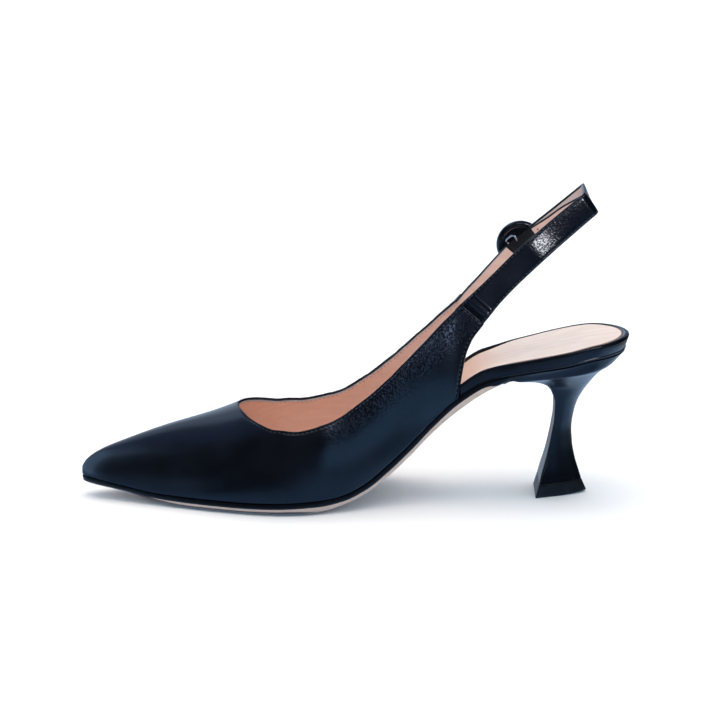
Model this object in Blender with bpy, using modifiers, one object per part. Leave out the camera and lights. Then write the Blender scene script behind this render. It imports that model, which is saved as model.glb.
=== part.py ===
"""Slingback pump, a right shoe: pointed toe, low-cut vamp, flared heel, heel strap with a button.

Frame: +Z up, toe towards -X, heel towards +X, inner side of the foot towards -Y.
The origin is on the floor below the middle of the shoe's box. Sizes below are in millimetres,
with y counted from the heel's own axis; "s" is the distance from the toe tip along the shoe.
"""

import math
from collections import namedtuple

import bmesh
import bpy
import numpy as np
from mathutils import Vector

MM = 0.001

# Driving dimensions
LENGTH = 250.0
BOX_CENTRE = (-0.3, -7.32)
CLEARANCE = 0.3
UPPER_WALL = 1.6
STRAP_THICKNESS = 1.6
STRAP_LIP = 0.25
SOLE_GAP = 0.5
SOLE_BEAD = 0.4
SOLE_SHOULDER = 0.3
SOLE_BEVEL = 6.0
BEVEL_AT_TIP = 0.45
BEVEL_BREAK = (0.24, 0.72)
TREAD_STEP = 0.2
SOCK_THICKNESS = 1.0
SOCK_INSET = 2.2
BOARD_FOOT = 0.5
ROUNDING_MIDDLE = 0.3
LIFT_HEIGHT = 6.3
LIFT_REAR_RISE = 0.9
BUTTON_RADIUS = 11.0
BUTTON_THICKNESS = 5.0
HOOK_WIRE = 0.7
TAB_THICKNESS = 1.2
STRIP_THICKNESS = 1.0

# Where the upper's edges lie
THROAT = 72.0
SEAM_TOP = 173.0
SOLE_CORNER = 172.2
SEAM_LOW_HEIGHT = 82.5
SEAM_GAP = 0.7
FAN_POWER = 1.5
SWELL_PEAK = 4 / 27

# Where the board comes out from inside the quarters and shows as the rim of the heel seat
RIM_START = 174.3
RIM_FULL = 175.6

# Mesh steps
UPPER_LINES = 34
UPPER_ROWS = 11
SOLE_STATIONS = 54
HEEL_STEPS = 10
EDGE_STEPS = 120
TIP_WIDTH = 0.01

# The last, a row for each section: centre line, half widths at the feather line, height of the
# feather line and of the ridge where both sides would meet, how round and how square the section
# is, and how far its belly swells.
Section = namedtuple("Section", "s centre medial lateral feather ridge round square belly")
LAST = [
    Section(0, -11.5, 0, 0, 10.0, 13.2, 2.0, 1.8, 0),
    Section(3, -11.4, 4.4, 4.4, 9.7, 18.0, 2.0, 1.8, 0),
    Section(10, -11.2, 8.2, 8.0, 8.9, 22.3, 2.0, 1.8, 0),
    Section(20, -10.9, 12.2, 11.6, 7.6, 26.4, 2.0, 1.8, 0.2),
    Section(40, -10.3, 20.2, 18.8, 5.4, 33.6, 2.0, 1.9, 0.5),
    Section(60, -9.4, 28.2, 25.8, 5.2, 39.4, 2.0, 2.2, 0.8),
    Section(72, -8.8, 32.3, 29.8, 5.2, 43.6, 2.0, 2.5, 1.0),
    Section(84, -8.2, 35.4, 33.2, 5.3, 49.0, 2.0, 2.8, 1.0),
    Section(95, -7.7, 36.8, 35.6, 5.6, 54.0, 2.0, 3.0, 1.0),
    Section(110, -6.7, 35.4, 36.6, 6.25, 58.0, 2.0, 3.0, 1.2),
    Section(120, -5.9, 32.6, 35.6, 7.7, 64.0, 1.9, 2.6, 1.5),
    Section(130, -5.0, 29.4, 33.0, 11.9, 78.0, 1.7, 2.1, 2.0),
    Section(140, -4.1, 26.4, 29.8, 19.5, 96.0, 1.5, 1.7, 2.2),
    Section(150, -3.2, 23.9, 26.8, 28.6, 115.0, 1.3, 1.4, 2.0),
    Section(160, -2.5, 21.8, 23.8, 38.6, 123.0, 1.1, 1.2, 1.6),
    Section(172, -1.5, 20.0, 21.2, 49.2, 125.5, 1.0, 1.1, 1.2),
    Section(185, -0.7, 20.6, 20.8, 56.0, 130.0, 1.0, 1.1, 1.0),
    Section(200, 0, 24.6, 24.6, 59.9, 130.0, 1.0, 1.1, 0),
    Section(220, 0, 27.2, 27.2, 64.0, 130.0, 1.0, 1.1, 0),
    Section(235, 0, 24.2, 24.2, 66.9, 130.0, 1.0, 1.1, 0),
    Section(245, 0, 15.8, 15.8, 68.2, 130.0, 1.0, 1.1, 0),
    Section(250, 0, 0, 0, 68.6, 130.0, 1.0, 1.1, 0),
]

# The topline: share of each half width that the opening takes at each s behind the throat.
Opening = namedtuple("Opening", "s near far")
TOPLINE = [
    Opening(THROAT, 0, 0),
    Opening(74, 0.30, 0.27),
    Opening(78, 0.535, 0.50),
    Opening(84, 0.703, 0.693),
    Opening(90, 0.797, 0.798),
    Opening(102, 0.853, 0.857),
    Opening(110, 0.850, 0.862),
    Opening(120, 0.815, 0.829),
    Opening(140, 0.770, 0.779),
    Opening(150, 0.729, 0.739),
    Opening(160, 0.627, 0.634),
    Opening(SEAM_TOP, 0.49, 0.49),
]

# The rear edge of the quarter, from the sole up to the lower end of the strap seam.
RearEdge = namedtuple("RearEdge", "height s")
REAR_EDGE = [
    RearEdge(49.0, SOLE_CORNER),
    RearEdge(60.0, 173.8),
    RearEdge(68.0, 175.3),
    RearEdge(75.0, 178.0),
    RearEdge(SEAM_LOW_HEIGHT, 183.5),
]

# The outsole: thickness of its edge, height of its tread and how far its edge stands out.
Sole = namedtuple("Sole", "s edge tread reach")
SOLE = [
    Sole(0, 2.2, 7.1, 0.2),
    Sole(20, 2.3, 3.9, 0.4),
    Sole(35, 2.3, 1.1, 0.5),
    Sole(50, 2.3, 0, 0.6),
    Sole(104, 2.3, 0, 0.6),
    Sole(112, 2.3, 0.8, 0.5),
    Sole(120, 2.3, 2.6, 0.3),
    Sole(130, 2.2, 6.6, 0.1),
    Sole(140, 2.1, 13.4, 0),
    Sole(150, 2.0, 22.0, -0.2),
    Sole(160, 1.9, 32.0, -0.3),
    Sole(172, 1.8, 42.2, -0.3),
    Sole(183, 1.7, 50.2, -0.4),
    Sole(193, 1.3, 55.4, -0.8),
    Sole(200, 0.9, 57.7, -1.2),
    Sole(220, 0.8, 62.4, -1.2),
    Sole(250, 0.8, 67.1, -1.2),
]

# The insole board: its thickness and the rounding of its top edge.
Board = namedtuple("Board", "s thickness rounding")
BOARD = [
    Board(0, 1.8, 0.3),
    Board(110, 2.0, 0.3),
    Board(150, 3.6, 0.5),
    Board(RIM_START, 4.6, 1.2),
    Board(185, 6.1, 1.6),
    Board(200, 7.3, 1.8),
    Board(220, 7.7, 1.8),
    Board(250, 7.8, 1.8),
]
BOARD_TOE = 6.0
SOCK_TOE = 9.0

# The heel, a ring for each row from the top lift up: breast end, back end, half width at the
# breast, how much the ring narrows to the back, and how square its back is.
Ring = namedtuple("Ring", "front_s front_z back_s back_z width taper square")
HEEL = [
    Ring(209.7, 6.6, 229.4, 6.6, 11.4, 0.70, 5.0),
    Ring(210.7, 11.0, 228.0, 11.0, 10.4, 0.65, 4.5),
    Ring(212.4, 17.0, 226.2, 17.0, 9.3, 0.55, 4.0),
    Ring(213.9, 23.5, 225.0, 23.5, 8.6, 0.45, 3.5),
    Ring(215.3, 31.0, 224.5, 31.0, 8.3, 0.35, 3.0),
    Ring(216.2, 37.5, 225.3, 37.5, 8.6, 0.25, 2.8),
    Ring(216.3, 43.5, 227.0, 43.7, 9.6, 0.15, 2.8),
    Ring(215.2, 48.4, 229.8, 49.0, 11.4, 0.00, 3.0),
    Ring(213.0, 52.4, 233.0, 53.6, 13.8, -0.15, 3.2),
    Ring(209.4, 54.4, 236.3, 57.6, 16.4, -0.27, 3.5),
    Ring(204.8, 55.3, 240.0, 61.4, 18.8, -0.36, 3.8),
    Ring(199.0, 55.2, 243.4, 64.4, 20.6, -0.42, 4.0),
    Ring(194.5, 56.1, 246.4, 66.5, 21.3, -0.45, 4.0),
]
HEEL_FLAT = 0.55
BREAST_CORNER = 0.6
BREAST_STEPS = (0.3, 0.9)
LIFT_TOP = Ring(209.6, LIFT_HEIGHT, 229.5, LIFT_HEIGHT, 11.7, 0.72, 5.0)
LIFT_FOOT = Ring(207.9, 0, 231.9, 0, 13.0, 0.75, 6.0)

# Straps, a row for each section: top edge and lower edge of the outer face.
Band = namedtuple("Band", "top_s top_y top_z low_s low_y low_z")
NEAR_STRAP = [
    Band(182.2, -12.7, 99.9, 190.9, -15.0, 92.1),
    Band(199.3, -12.8, 117.2, 207.8, -14.4, 109.3),
    Band(216.9, -12.7, 132.8, 224.8, -13.2, 124.6),
]
NEAR_FOLD = Band(227.9, -12.8, 142.0, 234.5, -13.0, 133.2)
FAR_FOLD = Band(228.9, 12.8, 142.6, 232.9, 13.0, 131.4)
FAR_STRAP = [
    Band(219.0, 13.0, 134.3, 225.0, 13.1, 124.6),
    Band(204.0, 13.8, 121.8, 211.1, 13.9, 112.6),
]
FASTENING_STRAP = [
    Band(180.3, 10.2, 98.7, 188.6, 12.9, 91.2),
    Band(187.0, 10.2, 106.3, 195.6, 11.6, 98.9),
    Band(193.4, 10.1, 113.4, 202.0, 10.7, 106.0),
]
INNER_STRIP = [
    Band(204.9, 9.2, 122.4, 210.1, 9.2, 115.7),
    Band(211.7, 5.2, 127.7, 216.9, 5.2, 121.0),
    Band(218.6, -0.4, 134.0, 223.8, -0.4, 127.3),
    Band(226.2, -9.3, 140.2, 231.6, -9.5, 133.2),
]
TAB = [
    Band(193.9, 9.8, 113.7, 200.2, 10.1, 108.2),
    Band(204.6, 9.3, 122.2, 209.8, 9.3, 115.5),
]
FOLD_RADIUS = 3.0
FOLD_STEPS = 5
LONG_STEPS = 16
STRAP_STEPS = 10
TAB_STEPS = 4
BUTTON_PLACE = (200.5, 14.3, 112.8)

# The button's profile from the middle of its face to the middle of its back, in shares of its
# radius and thickness.
Turned = namedtuple("Turned", "radius height")
BUTTON = [
    Turned(0, 0.66),
    Turned(0.66, 0.72),
    Turned(0.80, 1),
    Turned(0.90, 0.98),
    Turned(0.98, 0.78),
    Turned(1, 0.5),
    Turned(0.96, 0.2),
    Turned(0.86, 0),
    Turned(0, 0),
]
BUTTON_STEPS = 32

# The bent wire at the button, as places (s, y, z) along it.
HOOK_ROUTE = [
    (195.4, 8.0, 111.6),
    (195.2, 7.9, 114.4),
    (195.0, 8.4, 115.9),
    (194.9, 9.6, 116.5),
    (194.8, 10.8, 115.9),
    (195.1, 12.0, 114.6),
    (195.6, 13.0, 113.6),
    (196.0, 14.0, 113.2),
]

# Colours of the finishes
BLACK_LEATHER = (0.012, 0.016, 0.024)
NATURAL_LEATHER = (0.62, 0.47, 0.38)
LINING = (0.68, 0.45, 0.35)
ELASTIC = (0.015, 0.014, 0.014)
HORN = (0.008, 0.009, 0.011)
METAL = (0.72, 0.72, 0.74)


def smooth(places, values):
    """A smooth curve through the values, which doesn't overshoot between its rows."""
    xs, ys = np.asarray(places, float), np.asarray(values, float)
    step = np.diff(xs)
    rise = np.diff(ys) / step
    slope = np.concatenate([rise[:1], np.zeros(len(xs) - 2), rise[-1:]])
    for i in range(1, len(xs) - 1):
        before, after = rise[i - 1], rise[i]
        if before * after > 0:
            weights = (2 * step[i] + step[i - 1]) / before + (step[i] + 2 * step[i - 1]) / after
            slope[i] = 3 * (step[i - 1] + step[i]) / weights

    def value(x):
        x = np.clip(x, xs[0], xs[-1])
        i = np.clip(np.searchsorted(xs, x, side="right") - 1, 0, len(xs) - 2)
        u = (x - xs[i]) / step[i]
        level = ys[i] * (1 + 2 * u) * (1 - u) ** 2 + ys[i + 1] * u * u * (3 - 2 * u)
        return level + step[i] * (slope[i] * u * (1 - u) ** 2 - slope[i + 1] * u * u * (1 - u))

    return value


def turn(s):
    """The angle that goes from 0 at the toe to pi at the heel, so that both ends come out round."""
    return np.arccos(np.clip(1 - 2 * np.asarray(s, float) / LENGTH, -1, 1))


def along(angle):
    return LENGTH * (1 - np.cos(angle)) / 2


def columns(rows):
    """A smooth curve over the shoe's length for each column of a table."""
    places = turn([row.s for row in rows])
    return {name: smooth(places, [getattr(row, name) for row in rows]) for name in rows[0]._fields[1:]}


LAST_CURVES = columns(LAST)
SOLE_CURVES = columns(SOLE)
BOARD_CURVES = columns(BOARD)
BEHIND_THROAT = [math.sqrt(row.s - THROAT) for row in TOPLINE]
OPENINGS = {
    -1: smooth(BEHIND_THROAT, [row.near for row in TOPLINE]),
    1: smooth(BEHIND_THROAT, [row.far for row in TOPLINE]),
}
REAR = smooth([row.height for row in REAR_EDGE], [row.s for row in REAR_EDGE])


def last(name, s):
    return LAST_CURVES[name](turn(s))


def half_width(s, side):
    return last("medial" if side < 0 else "lateral", s)


def last_point(s, share, side):
    """Point of the last at s, where share runs from 0 on the ridge to 1 on the feather line."""
    share = min(max(share, 0.0), 1.0)
    up = (1 - share ** last("round", s)) ** (1 / last("square", s))
    swell = last("belly", s) * up * (1 - up) ** 2 / SWELL_PEAK
    y = last("centre", s) + side * (half_width(s, side) * share + swell)
    z = last("feather", s) + (last("ridge", s) - last("feather", s)) * up
    return np.array([s - LENGTH / 2, y, z])


def share_at(s, height):
    """Share of the half width at which the last reaches a height."""
    up = (height - last("feather", s)) / (last("ridge", s) - last("feather", s))
    return max(0.0, 1 - max(up, 0.0) ** last("square", s)) ** (1 / last("round", s))


def steep(s):
    """How much longer than its thickness a layer of the sole is when it is cut upright."""
    reach = 0.5
    fall = (last("feather", s + reach) - last("feather", s - reach)) / (2 * reach)
    return math.sqrt(1 + fall**2)


def round_width(angle, side):
    """Half width at an angle of turn; past either end of the shoe it goes on below zero."""
    return half_width(along(angle), side) * (1 if 0 <= angle <= math.pi else -1)


def outline(s, side, margin):
    """Plan point of the last's outline at s, moved outwards by a margin."""
    angle, reach = float(turn(s)), 0.01
    ahead = along(angle + reach) - along(angle - reach)
    aside = round_width(angle + reach, side) - round_width(angle - reach, side)
    size = math.hypot(ahead, aside)
    x = s - LENGTH / 2 - margin * aside / size
    y = last("centre", s) + side * (half_width(s, side) + margin * ahead / size)
    return x, y


def even(points, count):
    """The points at even steps along a line of points."""
    points = np.asarray(points)
    run = np.concatenate([[0], np.cumsum(np.linalg.norm(np.diff(points, axis=0), axis=1))])
    steps = np.linspace(0, run[-1], count)
    return np.stack([np.interp(steps, run, points[:, k]) for k in range(points.shape[1])], axis=1)


def finish(name, colour, roughness, metallic=0.0):
    material = bpy.data.materials.new(name)
    material.use_nodes = True
    shader = material.node_tree.nodes["Principled BSDF"]
    shader.inputs["Base Color"].default_value = (*colour, 1.0)
    shader.inputs["Roughness"].default_value = roughness
    shader.inputs["Metallic"].default_value = metallic
    return material


def add_part(name, mesh, material):
    mesh.materials.clear()
    mesh.materials.append(material)
    part = bpy.data.objects.new(name, mesh)
    bpy.data.collections["slingback_pump"].objects.link(part)
    part.parent = bpy.data.objects["slingback_pump_root"]
    return part


def mesh_from(name, bm, sharp_degrees):
    mesh = bpy.data.meshes.new(name)
    bm.to_mesh(mesh)
    bm.free()
    mesh.shade_smooth()
    mesh.set_sharp_from_angle(angle=math.radians(sharp_degrees))
    return mesh


def add_cap(bm, loop):
    """Closes a ring whose second half mirrors its first half, with strips from side to side."""
    for k in range((len(loop) - 1) // 2):
        strip = (loop[k], loop[k + 1], loop[-2 - k], loop[-1 - k])
        bm.faces.new(dict.fromkeys(strip))


def loft(name, rings, material, caps=(True, True), sharp_degrees=35):
    """A closed solid through rings of points that have the same count."""
    bm = bmesh.new()
    loops = [[bm.verts.new(Vector(point) * MM) for point in ring] for ring in rings]
    for front, back in zip(loops, loops[1:]):
        for i in range(len(front)):
            j = (i + 1) % len(front)
            bm.faces.new((front[i], front[j], back[j], back[i]))
    for cap, loop in zip(caps, (loops[0], loops[-1])):
        if cap:
            add_cap(bm, loop)
    bmesh.ops.remove_doubles(bm, verts=bm.verts, dist=0.001 * MM)
    bmesh.ops.recalc_face_normals(bm, faces=bm.faces)
    return add_part(name, mesh_from(name, bm, sharp_degrees), material)


def layer_ring(s, margins, heights):
    """A ring of a sole layer at s, down the near side and up the far side.

    The margins are distances from the feather line, and heights gives a height for each of them
    at a place along the shoe.
    """
    order = range(len(margins))
    ring = []
    for side, steps in ((-1, order), (1, order[::-1])):
        for k in steps:
            x, y = outline(s, side, margins[k])
            ring.append((x, y, heights(x + LENGTH / 2)[k]))
    return ring


def stations(start, end, count, extra=()):
    angles = np.linspace(turn(start), turn(end), count)
    return sorted([*(float(along(angle)) for angle in angles), *extra])


def sole_heights(s):
    """Heights of the outsole at s: its top, the foot of its edge and its tread."""
    edge, tread = (SOLE_CURVES[name](turn(s)) for name in ("edge", "tread"))
    top = last("feather", s) - SOLE_GAP * steep(s)
    low = top - edge * steep(s)
    return top, low, min(tread, low - TREAD_STEP)


def sole_profile(s):
    top, low, tread = sole_heights(s)
    shoulder = SOLE_SHOULDER * (top - low)
    return top, top - shoulder, low + shoulder, low, low + BEVEL_BREAK[1] * (tread - low), tread


def make_outsole(material):
    rings = []
    for s in stations(0, LENGTH, SOLE_STATIONS):
        reach = SOLE_CURVES["reach"](turn(s))
        bead = reach + SOLE_BEAD
        bevel = min(SOLE_BEVEL, BEVEL_AT_TIP * float(half_width(s, -1)))
        margins = (reach, bead, bead, reach, reach - BEVEL_BREAK[0] * bevel, reach - bevel)
        rings.append(layer_ring(s, margins, sole_profile))
    return loft("outsole", rings, material, caps=(False, False))


def board_top(s):
    return last("feather", s) + BOARD_CURVES["thickness"](turn(s)) * steep(s)


def inside_wall(s, height):
    """How far inside the feather line a layer stays to clear the upper's wall up to a height."""
    lean = 0.0
    for side in (-1, 1):
        across = abs(last_point(s, share_at(s, height), side)[1] - last("centre", s))
        lean = max(lean, half_width(s, side) - across)
    return lean + UPPER_WALL + 2 * CLEARANCE


def board_rounding(s):
    return BOARD_CURVES["rounding"](turn(s))


def board_profile(s):
    foot, top, rounding = last("feather", s), board_top(s), board_rounding(s)
    return top, top - ROUNDING_MIDDLE * rounding, top - rounding, foot + BOARD_FOOT, foot


def make_insole_board(material):
    rings = []
    for s in stations(BOARD_TOE, LENGTH, SOLE_STATIONS, extra=(RIM_START, RIM_FULL)):
        reach = -inside_wall(s, board_top(s)) if s < RIM_FULL else 0.0
        rounding = board_rounding(s)
        middle = reach - ROUNDING_MIDDLE * rounding
        margins = (reach - rounding, middle, reach, reach, reach - BOARD_FOOT)
        rings.append(layer_ring(s, margins, board_profile))
    return loft("insole_board", rings, material, caps=(True, False))


def sock_profile(s):
    foot = board_top(s) + CLEARANCE * steep(s)
    return foot + SOCK_THICKNESS * steep(s), foot


def make_insole(material):
    rings = []
    for s in stations(SOCK_TOE, LENGTH, SOLE_STATIONS, extra=(RIM_START, RIM_FULL)):
        reach = -inside_wall(s, sock_profile(s)[0]) if s < RIM_FULL else -SOCK_INSET
        rings.append(layer_ring(s, (reach, reach), sock_profile))
    return loft("insole", rings, material, caps=(True, False))


def lower_edge():
    """The upper's lower edge as (s, share of the half width), from the toe to the strap seam."""
    points = [(s, 1.0) for s in stations(0, SOLE_CORNER, EDGE_STEPS)]
    for height in np.linspace(last("feather", SOLE_CORNER), SEAM_LOW_HEIGHT, EDGE_STEPS)[1:]:
        s = float(REAR(height))
        points.append((s, share_at(s, height)))
    return np.array(points)


def top_edge(side):
    """The topline as (s, share of the half width), from the throat to the strap seam."""
    steps = np.linspace(0, BEHIND_THROAT[-1], EDGE_STEPS)
    return np.array([(THROAT + step**2, OPENINGS[side](step)) for step in steps])


def at_share(edge, share, side):
    """The place (s, share of the half width) at a share of an edge's length over the last."""
    points = np.array([last_point(*place, side) for place in edge])
    run = np.concatenate([[0], np.cumsum(np.linalg.norm(np.diff(points, axis=0), axis=1))])
    return np.array([np.interp(share * run[-1], run, edge[:, k]) for k in range(2)])


def in_plan(place, side):
    """A place on the last as (s, distance from the centre line)."""
    return np.array([place[0], place[1] * half_width(place[0], side)])


def upper_line(low, top, side):
    """One line of the upper over the last, straight in plan from its lower edge to the topline."""
    start, end = in_plan(low, side), in_plan(top, side)
    path = []
    for way in np.linspace(0, 1, EDGE_STEPS) ** 3:
        s, offset = start + (end - start) * way
        path.append(last_point(s, offset / max(float(half_width(s, side)), TIP_WIDTH), side))
    path[0] = last_point(*low, side)
    return even(path, UPPER_ROWS)


def side_lines(side):
    """The lines of one side of the upper, from the toe to the strap seam."""
    low, top = lower_edge(), top_edge(side)
    shares = np.linspace(0, 1, UPPER_LINES)
    return [
        upper_line(at_share(low, share, side), at_share(top, share**FAN_POWER, side), side)
        for share in shares
    ]


def make_upper(material):
    """The vamp and both quarters as one shell over the last, open at the collar and underneath."""
    lines = [*side_lines(1)[:0:-1], *side_lines(-1)]
    bm = bmesh.new()
    bmesh.ops.create_grid(bm, x_segments=len(lines) - 1, y_segments=UPPER_ROWS - 1, size=0.5)
    bm.verts.ensure_lookup_table()
    for vert in bm.verts:
        column = round((vert.co.x + 0.5) * (len(lines) - 1))
        row = round((vert.co.y + 0.5) * (UPPER_ROWS - 1))
        vert.co = Vector(lines[column][row]) * MM
    bmesh.ops.recalc_face_normals(bm, faces=bm.faces)
    part = add_part("upper", mesh_from("upper", bm, 60), material)
    wall = part.modifiers.new("wall", "SOLIDIFY")
    wall.thickness = UPPER_WALL * MM
    wall.offset = -1
    wall.use_even_offset = True
    return part


def heel_ring(ring, rise=0.0, seat=None):
    """A D of the heel: flat at the breast, narrowing to a round back.

    Rise lifts the foot of the back, and seat gives the height along the shoe of a ring that
    follows the sole.
    """
    sides = []
    for share in np.sin(np.linspace(0, math.pi / 2, HEEL_STEPS)):
        half = ring.width * (1 - ring.taper * share) * (1 - share**ring.square) ** 0.5
        s = ring.front_s + (ring.back_s - ring.front_s) * share
        z = ring.front_z + (ring.back_z - ring.front_z) * share
        z += rise * max(0.0, (share - HEEL_FLAT) / (1 - HEEL_FLAT))
        sides.append((s - LENGTH / 2, half, seat(s) if seat else z))
    front, _, height = sides[0]
    far_breast = [(front, ring.width * k, height) for k in BREAST_STEPS]
    near_breast = [(front, -ring.width * k, height) for k in BREAST_STEPS[::-1]]
    near = [(x, -half, z) for x, half, z in sides]
    far = [(x, half, z) for x, half, z in sides]
    return [*far_breast, *corner(far), *near[-2:0:-1], corner(near)[0], *near_breast]


def corner(points):
    """A side of the D with its corner at the breast set back a little."""
    (x, y, z), *rest = points
    return [(x + BREAST_CORNER, y, z), *rest]


def under_sole(s):
    return sole_heights(s)[2] - CLEARANCE * steep(s)


def make_heel(material):
    rings = [heel_ring(ring) for ring in HEEL[:-1]]
    return loft("heel", [*rings, heel_ring(HEEL[-1], seat=under_sole)], material)


def make_top_lift(material):
    rings = [heel_ring(LIFT_FOOT, LIFT_REAR_RISE), heel_ring(LIFT_TOP)]
    return loft("top_lift", rings, material)


def edges_of(band):
    top = np.array([band.top_s - LENGTH / 2, band.top_y, band.top_z])
    low = np.array([band.low_s - LENGTH / 2, band.low_y, band.low_z])
    return np.concatenate([top, low])


def curve_through(sections, steps):
    """A smooth run of strap sections through the given ones, which are rows of six numbers."""
    sections = np.asarray(sections)
    run = np.concatenate([[0], np.cumsum(np.linalg.norm(np.diff(sections, axis=0), axis=1))])
    curves = [smooth(run, sections[:, k]) for k in range(6)]
    return [np.array([curve(place) for curve in curves]) for place in np.linspace(0, run[-1], steps)]


def towards(start, end, distance):
    """The section that lies a distance from start on the way to end."""
    return start + (end - start) * distance / np.linalg.norm((end - start)[:3])


def fold(before, crease, after):
    """Sections round a crease of the strap, from just before it to just after it."""
    start, end = towards(crease, before, FOLD_RADIUS), towards(crease, after, FOLD_RADIUS)
    shares = np.linspace(0, 1, FOLD_STEPS)
    return [start * (1 - u) ** 2 + crease * 2 * u * (1 - u) + end * u * u for u in shares]


def ribbon(name, sections, thickness, material, inward):
    """A strap of the given thickness; inward is 1 where its run has the foot on its left, else -1."""
    sections = np.asarray(sections)
    rings = []
    for i, section in enumerate(sections):
        ahead = sections[min(i + 1, len(sections) - 1)] - sections[max(i - 1, 0)]
        across = section[3:] - section[:3]
        normal = np.cross(ahead[:3] + ahead[3:], across) * inward
        inner = normal / np.linalg.norm(normal) * thickness
        top, low = section[:3], section[3:]
        lip = across / np.linalg.norm(across) * STRAP_LIP * thickness
        side_in = STRAP_LIP * inner
        rings.append([
            top + side_in, top + lip, low - lip, low + side_in,
            low + inner - side_in, low + inner - lip, top + inner + lip, top + inner - side_in,
        ])
    return loft(name, rings, material, sharp_degrees=50)


def seam_section(side, ahead):
    """The strap's first section, a gap behind the end of the quarter, on the way to the one ahead."""
    top = last_point(*top_edge(side)[-1], side)
    low = last_point(*lower_edge()[-1], side)
    return towards(np.concatenate([top, low]), edges_of(ahead), SEAM_GAP)


def make_sling_strap(material):
    near = [seam_section(-1, NEAR_STRAP[0]), *(edges_of(band) for band in NEAR_STRAP)]
    far = [edges_of(band) for band in FAR_STRAP]
    first, second = edges_of(NEAR_FOLD), edges_of(FAR_FOLD)
    near_fold, far_fold = fold(near[-1], first, second), fold(first, second, far[0])
    sections = [
        *curve_through([*near, near_fold[0]], LONG_STEPS)[:-1],
        *near_fold,
        *far_fold,
        *curve_through([far_fold[-1], *far], STRAP_STEPS)[1:],
    ]
    return ribbon("sling_strap", sections, STRAP_THICKNESS, material, inward=1)


def make_fastening_strap(material):
    rows = [seam_section(1, FASTENING_STRAP[0]), *(edges_of(band) for band in FASTENING_STRAP)]
    return ribbon("fastening_strap", curve_through(rows, STRAP_STEPS), STRAP_THICKNESS, material, inward=-1)


def make_elastic_tab(material):
    rows = [edges_of(band) for band in TAB]
    return ribbon("elastic_tab", curve_through(rows, TAB_STEPS), TAB_THICKNESS, material, inward=-1)


def make_inner_strip(material):
    rows = [edges_of(band) for band in INNER_STRIP]
    return ribbon("inner_strip", curve_through(rows, STRAP_STEPS), STRIP_THICKNESS, material, inward=-1)


def make_button(material):
    """A turned button: flat back, rounded rim and a shallow dish inside a raised ring."""
    bm = bmesh.new()
    verts = []
    for row in BUTTON:
        place = Vector((row.radius * BUTTON_RADIUS, 0, row.height * BUTTON_THICKNESS))
        verts.append(bm.verts.new(place * MM))
    for start, end in zip(verts, verts[1:]):
        bm.edges.new((start, end))
    part = add_part("button", mesh_from("button", bm, 40), material)
    part.location = Vector((BUTTON_PLACE[0] - LENGTH / 2, *BUTTON_PLACE[1:])) * MM
    part.rotation_euler = (-math.pi / 2, 0, 0)
    turned = part.modifiers.new("turned", "SCREW")
    turned.steps = turned.render_steps = BUTTON_STEPS
    turned.use_merge_vertices = True
    turned.merge_threshold = 0.00001
    return part


def make_button_hook(material):
    """The bent wire that holds the button strap, over the end of the fastening strap."""
    wire = bpy.data.curves.new("button_hook", "CURVE")
    wire.dimensions = "3D"
    wire.bevel_depth = HOOK_WIRE * MM
    wire.bevel_resolution = 2
    wire.use_fill_caps = True
    spline = wire.splines.new("POLY")
    spline.points.add(len(HOOK_ROUTE) - 1)
    for point, (s, y, z) in zip(spline.points, HOOK_ROUTE):
        point.co = (*(Vector((s - LENGTH / 2, y, z)) * MM), 1)
    wire.materials.append(material)
    part = bpy.data.objects.new("button_hook", wire)
    bpy.data.collections["slingback_pump"].objects.link(part)
    part.parent = bpy.data.objects["slingback_pump_root"]
    return part


def main():
    for item in list(bpy.data.objects):
        bpy.data.objects.remove(item)
    parts = bpy.data.collections.new("slingback_pump")
    bpy.context.scene.collection.children.link(parts)
    root = bpy.data.objects.new("slingback_pump_root", None)
    root.location = Vector((-BOX_CENTRE[0], -BOX_CENTRE[1], 0)) * MM
    parts.objects.link(root)

    make_outsole(finish("sole_leather", NATURAL_LEATHER, 0.45))
    make_insole_board(finish("rim_leather", BLACK_LEATHER, 0.35))
    make_insole(finish("sock_leather", LINING, 0.6))
    make_upper(finish("upper_leather", BLACK_LEATHER, 0.35))
    make_heel(finish("heel_leather", BLACK_LEATHER, 0.3))
    make_top_lift(finish("lift_rubber", HORN, 0.5))
    strap_leather = finish("strap_leather", BLACK_LEATHER, 0.4)
    make_sling_strap(strap_leather)
    make_fastening_strap(strap_leather)
    make_inner_strip(finish("strip_lining", LINING, 0.6))
    make_elastic_tab(finish("elastic", ELASTIC, 0.8))
    make_button(finish("button_horn", HORN, 0.15))
    make_button_hook(finish("hook_metal", METAL, 0.2, 1.0))


main()
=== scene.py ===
"""Looks of the slingback pump: leather, lining, sole, heel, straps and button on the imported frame.

Frame: metres, +Z up, toe towards -X, heel towards +X, inner side of the foot towards -Y. The shoe's
own sizes are in millimetres: s runs from the toe tip along the shoe, y is counted from the heel's
axis and z from the floor.
"""

import logging
import math
from dataclasses import dataclass, field
from enum import Enum, IntEnum
from typing import Any, Callable, NamedTuple, Sequence

import bmesh
import bpy
import numpy as np
from mathutils import Matrix, Quaternion, Vector


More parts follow.
